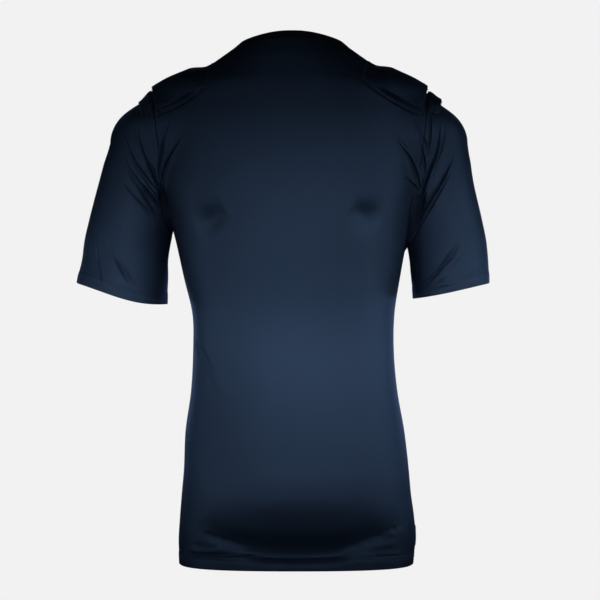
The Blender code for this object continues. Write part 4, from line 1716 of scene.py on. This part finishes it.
@dataclass(eq=False)
class Sleeve(Garment):
    """One short sleeve, closed round the arm, with its turned cuff."""

    side: Side = Side.LEFT
    flat: tuple[float, float] = (0.42, 0.28)
    flat_area: float = 0.068

    def build(self, finish: KnitFinish) -> bpy.types.Object:
        """Makes the sleeve with its cuff stitches.

        Args:
            finish: The cloth's finish.

        Returns:
            The sleeve.
        """
        cut = self.cut
        base = cut.sleeve(self.side)
        normal = cut.form.outward(base)
        along = lengths_along(base, 0)
        turned = along[-1:] - along
        thick = self.edge_thickness(np.minimum(along, turned), turned)
        inner, outer = self.wrapped(base, normal, thick, turned)
        for grid, slant in ((inner, self.seam_slant), (outer, 0.0)):
            grid[0] += cut.armhole_across(self.side) * (self.seam_gap / 2 + slant)
        name = f"sleeve_cloth_{self.side.word}"
        made = Shell(inner, outer, closed=True).build(name, finish.material())
        self.seat(made, f"sleeve_{self.side.word}", "shirt_cloth")
        lines = []
        for depth in self.hem_rows:
            row = -1 - round(depth / cut.edge_zone * cut.edge_count)
            lines.append((outer[row], normal[row], True))
        for depth in self.seam_rows:
            row = inset(outer, 0, depth)
            lines.append((outer[row], normal[row], True))
        stitches = self.sew(Stitching(f"cuff_stitches_{self.side.word}", lines))
        return made


@dataclass(eq=False)
class Neckband(Garment):
    """The ribbed band that stands on the neckline and leans inwards."""

    height: float = 0.0095
    wall: float = 0.0024
    upright: float = 0.10
    lip: float = 0.0005
    quarter: int = 48
    rows: int = 14
    foot_share: float = 0.20
    foot_swell: float = 0.55
    top_share: float = 0.22
    top_swell: float = 0.25
    flat: tuple[float, float] = (0.45, 0.0100)

    def build(self, finish: RibFinish) -> bpy.types.Object:
        """Makes the band.

        Args:
            finish: The rib's finish.

        Returns:
            The band.
        """
        form, shares = self.cut.form, even(self.quarter)
        parts = []
        for face, sides in ((Face.BACK, list(Side)), (Face.FRONT, list(Side)[::-1])):
            first, second = (spaced(self.cut.neck_line(side, face), shares) for side in sides)
            parts += [first[:0:-1], second[:-1]]
        ring = np.concatenate(parts)
        normal = form.outward(ring)
        along = unit(np.roll(ring, -1, axis=0) - np.roll(ring, 1, axis=0))
        rise = np.cross(normal, along)
        rise *= np.sign(rise[:, 2:])
        lean = unit(rise * (1 - self.upright) + np.array([0.0, 0.0, self.upright]))
        across = unit(np.cross(along, lean))
        across *= np.sign((across * normal).sum(-1, keepdims=True))
        foot = ring + rise * self.seam_gap + across * form.wall / 2
        inner, outer = [], []
        for share in gathered(1 - even(self.rows), 0.5)[::-1]:
            low, high = share / self.foot_share, (1 - share) / self.top_share
            swell = self.foot_swell + (1 - self.foot_swell) * quarter_round(low)
            thick = self.wall * swell
            thick *= self.top_swell + (1 - self.top_swell) * quarter_round(high)
            line = foot + lean * self.height * share
            inner.append(line - across * thick / 2)
            outer.append(line + across * thick / 2 - rise * self.lip * max(1 - low, 0.0))
        shell = Shell(np.stack(inner), np.stack(outer), closed=True)
        made = shell.build("neck_rib_band", finish.material())
        self.seat(made, "neckband", "neck_rib")
        return made


@dataclass(eq=False)
class Pad(Garment):
    """What both kinds of pad share: a stitched flange round a raised foam block."""

    side: Side = Side.LEFT
    gap: float = 0.0008
    flange: float = 0.0020
    corner: float = 0.22
    columns: int = 64
    rows: int = 128
    fine: int = 24
    lean_reach: float = 0.004
    pucker: float = 0.00035
    pucker_step: float = 0.0075
    pucker_in: float = 0.0055
    pucker_reach: float = 0.0035
    pucker_drifts: tuple[int, int] = (41, 57)
    neck_lift: float = 0.3
    lift_zone: tuple[float, float] = (0.0, 0.3)
    edge_round: float = 0.0015
    edge_share: float = 0.4
    zigzag_row: float = 0.0022
    zigzag_spacing: float = 0.0040
    zigzag_length: float = 0.0042
    zigzag_thread: float = 0.0008
    zigzag_slant: float = 1.20

    def tucked(self, u: Array, end: float, tuck: float) -> Array:
        """Shares across a pad, drawn in near its two ends to round its corners."""
        over = min(max((end - (1 - self.corner)) / self.corner, 0.0), 1.0)
        return 0.5 + (u - 0.5) * (1 - tuck * (1 - math.sqrt(1 - over**2)))

    def laid_grid(self, lines: Array, v_shares: Array, u_shares: Array, tuck: float) -> Array:
        """The pad's under side on the form.

        Args:
            lines: Lines along the pad, side by side.
            v_shares: Shares along it.
            u_shares: Shares across it.
            tuck: How far its corners are drawn in.

        Returns:
            A grid of points, rows along the pad.
        """
        at = even(self.fine)
        rows = []
        for row, v in enumerate(v_shares):
            shares = self.tucked(u_shares, abs(2 * v - 1), tuck)
            rows.append(curve_through(at, lines[:, row], shares))
        return self.cut.form.settled(np.stack(rows), rounds=4)

    def flange_rounding(self, edge: Array) -> Array:
        """The share of the flange's thickness at distances from its edge."""
        return self.edge_share + (1 - self.edge_share) * quarter_round(edge / self.edge_round)

    def cover(
        self, name: str, base: Array, thick: Array, lean: Array, finish: KnitFinish
    ) -> bpy.types.Object:
        """Makes the covered pad over its under side.

        Args:
            name: Its name.
            base: The grid of its under side on the form.
            thick: Its thickness.
            lean: How far its top leans towards the arm, for each column.
            finish: The cover's finish.

        Returns:
            The pad.
        """
        normal = self.cut.form.outward(base)
        away = soft_step(even(base.shape[1] - 1), *self.lift_zone)
        lift = self.gap * (self.neck_lift + (1 - self.neck_lift) * away)
        under = base + normal * (self.cut.form.wall + lift)[None, :, None]
        across = unit(np.gradient(base, axis=1))
        outer = under + normal * thick[..., None] + across * (lean * thick / thick.max())[..., None]
        made = Shell(under, outer, closed=False).build(name, finish.material())
        row, column = inset(outer, 0, self.zigzag_row), inset(outer, 1, self.zigzag_row)
        rows = slice(row, outer.shape[0] - row)
        columns = slice(column, outer.shape[1] - column)
        way = unit(outer - under)
        picks = [(row, columns), (-1 - row, columns), (rows, column), (rows, -1 - column)]
        lines = [(outer[pick], way[pick], False) for pick in picks]
        stitching = Stitching(
            f"{name}_stitches",
            lines,
            spacing=self.zigzag_spacing,
            length=self.zigzag_length,
            thread=self.zigzag_thread,
            slant=self.zigzag_slant,
        )
        self.sew(stitching)
        return made

    def puckered(self, thick: Array, along: Array, across: Array) -> Array:
        """Adds the small puckers that the stitches draw in the cover.

        Args:
            thick: The pad's thickness.
            along: How far each row lies from the nearer end.
            across: How far each column lies from the nearer side.

        Returns:
            The thickness with puckers that run in from the stitches.
        """
        end, side = np.meshgrid(along, across, indexing="ij")
        turns = 2 * math.pi / self.pucker_step
        total = 0.0
        for away, run, drift in zip((end, side), (side, end), self.pucker_drifts):
            waves = np.sin(run * turns + 2.0 * np.sin(run * drift))
            total = total + waves * bell(away, self.pucker_in, self.pucker_reach)
        return thick + self.pucker * total


@dataclass(eq=False)
class ShoulderPad(Pad):
    """The foam pad over one shoulder, from the front of it to the back."""

    length: float = 0.150
    width: float = 0.075
    height: float = 0.0075
    crown: float = 0.0018
    lower_edge: tuple[float, float] = (0.0042, 0.0042)
    neck_edge: tuple[float, float] = (0.0050, 0.0240)
    arm_edge: tuple[float, float] = (0.0004, 0.0018)
    lean: float = 0.0015
    neck_flange: float = 0.15
    corner_flange: float = 0.0036
    corner_from: tuple[float, float] = (0.60, 0.90)
    fold: float = 0.0009
    fold_width: float = 0.0009
    fold_zone: tuple[float, float] = (0.1, 0.4)
    thin_to: float = 0.02
    tuck: float = 0.16
    bow: float = 0.004

    def under_side(self, v_shares: Array, u_shares: Array) -> Array:
        """The grid of the pad's under side, from its front lower edge to its back one.

        Args:
            v_shares: Shares along the pad.
            u_shares: Shares across it.

        Returns:
            The grid of points.
        """
        cut, place = self.cut, PAD_PLACES[self.side]
        lines = []
        for u in even(self.fine):
            x = self.side * (place.inner_x * (1 - u) + place.outer_x * u)
            ridge = cut.form.cast(np.array([x, 0.0, cut.cast_z]), np.array([UP]))[0]
            centre = ridge + cut.cast_z * np.array(UP)
            halves = []
            for face in (Face.FRONT, Face.BACK):
                low_x, low_z = np.array(place.low_in) * (1 - u) + np.array(place.low_out) * u
                start = np.array([self.side * low_x, 0.0, low_z - self.bow * math.sin(math.pi * u)])
                low = cut.form.cast(start, np.array([[0.0, float(face), 0.0]]))[0]
                share = even(2 * self.fine)[:, None]
                rays = (1 - share) * unit(ridge - centre) + share * unit(low - centre)
                halves.append(cut.form.cast(centre, rays))
            lines.append(spaced(np.concatenate([halves[0][::-1], halves[1][1:]]), v_shares))
        return self.laid_grid(np.stack(lines), v_shares, u_shares, self.tuck)

    def build(self, finish: KnitFinish) -> bpy.types.Object:
        """Makes the pad.

        Args:
            finish: The cover's finish.

        Returns:
            The pad.
        """
        v, u = even(self.rows), even(self.columns)
        base = self.under_side(v, u)
        along = np.minimum(v, 1 - v) * self.length
        rise_v = soft_step(along, self.lower_edge[0], sum(self.lower_edge))
        neck = soft_step(u * self.width, self.neck_edge[0], sum(self.neck_edge))
        low = self.corner_flange * soft_step(np.abs(2 * v - 1), *self.corner_from)[:, None]
        inward = (1 - u)[None] * self.width - self.arm_edge[0] - low
        rise = np.outer(rise_v, neck) * soft_step(inward, 0.0, self.arm_edge[1])
        foot = np.minimum(along[:, None] - self.lower_edge[0], inward)
        fold = self.fold * bell(foot, 0.0, self.fold_width)
        fold = fold * soft_step(u, *self.fold_zone) * (low > 0)
        arch = np.outer(np.sin(math.pi * v), np.sin(math.pi * u))
        across = np.minimum(u, 1 - u) * self.width
        away = soft_step(u * self.width, 0.0, self.thin_to)
        thin = self.neck_flange + (1 - self.neck_flange) * away
        edge = np.minimum(along[:, None], across[None])
        flange = self.flange * thin * self.flange_rounding(edge)
        thick = flange + (self.height - self.flange + self.crown * arch) * rise
        thick = self.puckered(thick, along, across) - fold
        lean = self.lean * np.exp(-(1 - u) * self.width / self.lean_reach)
        made = self.cover(f"shoulder_pad_cover_{self.side.word}", base, thick, lean, finish)
        self.seat(made, f"shoulder_pad_{self.side.word}", "pad_cover")
        return made


@dataclass(eq=False)
class CapPad(Pad):
    """The smaller foam strip on the head of one sleeve."""

    height: float = 0.0056
    lean: float = -0.0008
    flange: float = 0.0012
    end_edge: tuple[float, float] = (0.0010, 0.0180)
    side_edge: tuple[float, float] = (0.0, 0.0014)
    outer_share: float = 0.10
    start: float = 0.0007
    width: float = 0.0225
    length: float = 0.130
    low_z: float = -0.062
    tuck: float = 0.35
    columns: int = 28
    rows: int = 84

    def under_side(self, v_shares: Array, u_shares: Array) -> Array:
        """The grid of the pad's under side, from its front tip to its back one.

        Args:
            v_shares: Shares along the pad.
            u_shares: Shares across it.

        Returns:
            The grid of points.
        """
        cut = self.cut
        lines = []
        for u in even(self.fine):
            share = (self.start + self.width * u) / cut.sleeve_length
            halves = []
            for face in (Face.FRONT, Face.BACK):
                line = cut.ring_half(self.side, float(share), face)
                halves.append(line[int(np.argmax(line[:, 2] > self.low_z)) :])
            lines.append(spaced(np.concatenate([halves[0], halves[1][-2::-1]]), v_shares))
        return self.laid_grid(np.stack(lines), v_shares, u_shares, self.tuck)

    def build(self, finish: KnitFinish) -> bpy.types.Object:
        """Makes the pad.

        Args:
            finish: The cover's finish.

        Returns:
            The pad.
        """
        v, u = even(self.rows), even(self.columns)
        base = self.under_side(v, u)
        along, across = np.minimum(v, 1 - v) * self.length, np.minimum(u, 1 - u) * self.width
        over = soft_step(across, self.side_edge[0], sum(self.side_edge))
        over = over * (1 - (1 - self.outer_share) * u)
        rise = np.outer(soft_step(along, self.end_edge[0], sum(self.end_edge)), over)
        flange = self.flange * self.flange_rounding(np.minimum(along[:, None], across[None]))
        thick = flange + (self.height - self.flange) * rise
        lean = self.lean * np.exp(-u * self.width / self.lean_reach)
        made = self.cover(f"cap_pad_cover_{self.side.word}", base, thick, lean, finish)
        self.seat(made, f"cap_pad_{self.side.word}", "pad_cover")
        return made


@dataclass(frozen=True)
class Softbox:
    """One soft light, turned to a point."""

    place: tuple[float, float, float]
    aim: tuple[float, float, float]
    size: tuple[float, float]
    power: float
    spread: float

    def build(self, name: str) -> None:
        """Sets up the light.

        Args:
            name: Its name.
        """
        data = bpy.data.lights.new(name, "AREA")
        data.shape = "RECTANGLE"
        data.size, data.size_y = self.size
        data.spread = math.radians(self.spread)
        data.energy = self.power
        made = add_object(name, data)
        made.location = self.place
        way = np.array(self.aim) - np.array(self.place)
        tilt = math.atan2(math.hypot(way[0], way[1]), -way[2])
        made.rotation_euler = (tilt, 0.0, math.atan2(-way[0], way[1]))
        made.visible_camera = False


@dataclass(frozen=True)
class Studio:
    """Camera, lights and a plain pale room round the shirt."""

    camera_place: tuple[float, float, float] = (0.011, -2.3, -0.310)
    lens: float = 100.0
    sensor_width: float = 36.0
    ground: float = 0.886
    floor_z: float = -1.05
    room_radius: float = 9.0
    room_curve: float = 2.0
    room_facet: int = 5
    floor_shares: tuple[float, ...] = (0.3, 0.6, 0.8)
    curve_angles: tuple[float, ...] = (30, 60, 90)
    room_hole: float = 0.02
    wall_top: float = 6.0
    room_top: float = 9.0
    ambient: float = 0.004
    ambient_tone: Tint = (0.9, 0.95, 1.0)
    light_away: float = 2.6
    light_height: float = -0.375
    light_size: tuple[float, float] = (0.8, 0.24)
    light_spread: float = 16.5
    fill_power: float = 0.42
    fill_place: tuple[float, float] = (-50, 35)
    fill_size: tuple[float, float] = (0.8, 0.8)
    fill_spread: float = 90.0
    lights: tuple[tuple[float, float, float], ...] = (
        (0, 0, 0.088), (0, -12, 0.062), (0, 12, 0.036), (0, 30, 0.080),
        (0, 55, 0.016), (25, 0, 0.095), (25, 12, 0.036), (25, 30, 0.060),
        (50, 0, 0.076), (50, 30, 0.022), (75, 0, 0.110), (75, -12, 0.075),
        (75, 30, 0.140), (110, 0, 0.140), (150, 0, 0.090), (150, 30, 0.040),
        (180, 0, 0.090), (180, 30, 0.080), (-150, 0, 0.090), (-150, 30, 0.040),
        (-110, 0, 0.060), (-75, -12, 0.118), (-75, 0, 0.029), (-75, 30, 0.025),
        (-50, -12, 0.050), (-50, 0, 0.018), (-25, -12, 0.066), (-25, 0, 0.060),
        (-25, 30, 0.031),
    )

    def camera(self) -> None:
        """Sets the camera at the photograph's viewing angle."""
        data = bpy.data.cameras.new("photo_camera")
        data.lens = self.lens
        data.sensor_width = self.sensor_width
        made = add_object("photo_camera", data)
        made.location = self.camera_place
        made.rotation_euler = (math.pi / 2, 0.0, 0.0)
        bpy.context.scene.camera = made

    def room(self) -> None:
        """Makes the pale floor and the backdrop round it, which only the camera sees."""
        board = Board("pale_paper")
        tone = (self.ground, self.ground, self.ground, 1.0)
        board.dress({"Base Color": BLACK, "Specular IOR Level": 0.0})
        board.dress({"Emission Color": tone, "Emission Strength": 1.0})
        turns = np.radians(np.arange(0, 360, self.room_facet))
        radius, floor = self.room_radius, self.floor_z
        rings = [(self.room_hole, floor)]
        rings += [(radius * share, floor) for share in self.floor_shares]
        flat = self.floor_shares[-1]
        for angle in np.radians(self.curve_angles):
            away = flat + (1 - flat) * math.sin(angle)
            rings.append((radius * away, floor + self.room_curve * (1 - math.cos(angle))))
        rings += [(radius, self.wall_top), (self.room_hole, self.room_top)]
        points = [(r * math.cos(t), r * math.sin(t), z) for r, z in rings for t in turns]
        count = len(turns)
        faces = [tuple(range(count))[::-1]]
        for start in range(0, (len(rings) - 1) * count, count):
            for t in range(count):
                low, next_low = start + t, start + (t + 1) % count
                faces.append((low, next_low, next_low + count, low + count))
        faces.append(tuple(range((len(rings) - 1) * count, len(rings) * count)))
        mesh = bpy.data.meshes.new("paper_room")
        mesh.from_pydata(points, [], faces)
        mesh.shade_smooth()
        mesh.materials.append(board.material)
        made = add_object("paper_room", mesh)
        made.visible_diffuse = made.visible_glossy = made.visible_shadow = False

    def build(self) -> None:
        """Sets up everything round the shirt."""
        self.camera()
        self.room()
        world = bpy.data.worlds.new("soft_room_light")
        world.use_nodes = True
        inputs = world.node_tree.nodes["Background"].inputs
        inputs["Color"].default_value = (*self.ambient_tone, 1.0)
        inputs["Strength"].default_value = self.ambient
        bpy.context.scene.world = world
        aim = self.place(0, 0, 0.0)
        for turn, rise, power in self.lights:
            box = Softbox(self.place(turn, rise), aim, self.light_size, power, self.light_spread)
            box.build(f"softbox_{turn}_{rise}")
        place = self.place(*self.fill_place)
        Softbox(place, aim, self.fill_size, self.fill_power, self.fill_spread).build("fill_softbox")

    def place(
        self, turn: float, rise: float, away: float | None = None
    ) -> tuple[float, float, float]:
        """A point on the sphere of lights.

        Args:
            turn: Degrees round from straight behind the wearer, towards the wearer's right.
            rise: Degrees up.
            away: The distance from the middle, that of the lights if not given.

        Returns:
            Its place.
        """
        away = self.light_away if away is None else away
        a, b = math.radians(turn), math.radians(rise)
        flat = away * math.cos(b)
        return (flat * math.sin(a), -flat * math.cos(a), self.light_height + away * math.sin(b))


COVER_DARK = (0.022, 0.039, 0.075)
COVER_LIGHT = (0.026, 0.046, 0.088)


def main() -> None:
    """Builds the shirt on its frame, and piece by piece."""
    logging.basicConfig(level=logging.INFO, format="%(name)s: %(message)s")
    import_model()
    bpy.context.scene.view_settings.view_transform = "Standard"
    cut = ShirtCut(ShirtForm())
    creases = Creases(cut.form)
    thread = ThreadFinish("sewing_thread").material()
    for face in Face:
        Panel(cut, creases, thread, face=face).build(KnitFinish(f"{face.name.lower()}_knit"))
    for side in Side:
        Sleeve(cut, creases, thread, side=side).build(KnitFinish(f"sleeve_knit_{side.word}"))
        cover = KnitFinish(f"pad_cover_{side.word}", dark=COVER_DARK, light=COVER_LIGHT)
        ShoulderPad(cut, creases, thread, side=side).build(cover)
        CapPad(cut, creases, thread, side=side, **CAP_SHAPES[side]).build(cover)
    Neckband(cut, creases, thread).build(RibFinish("neck_rib"))
    Studio().build()


if __name__ == "__main__":
    main()
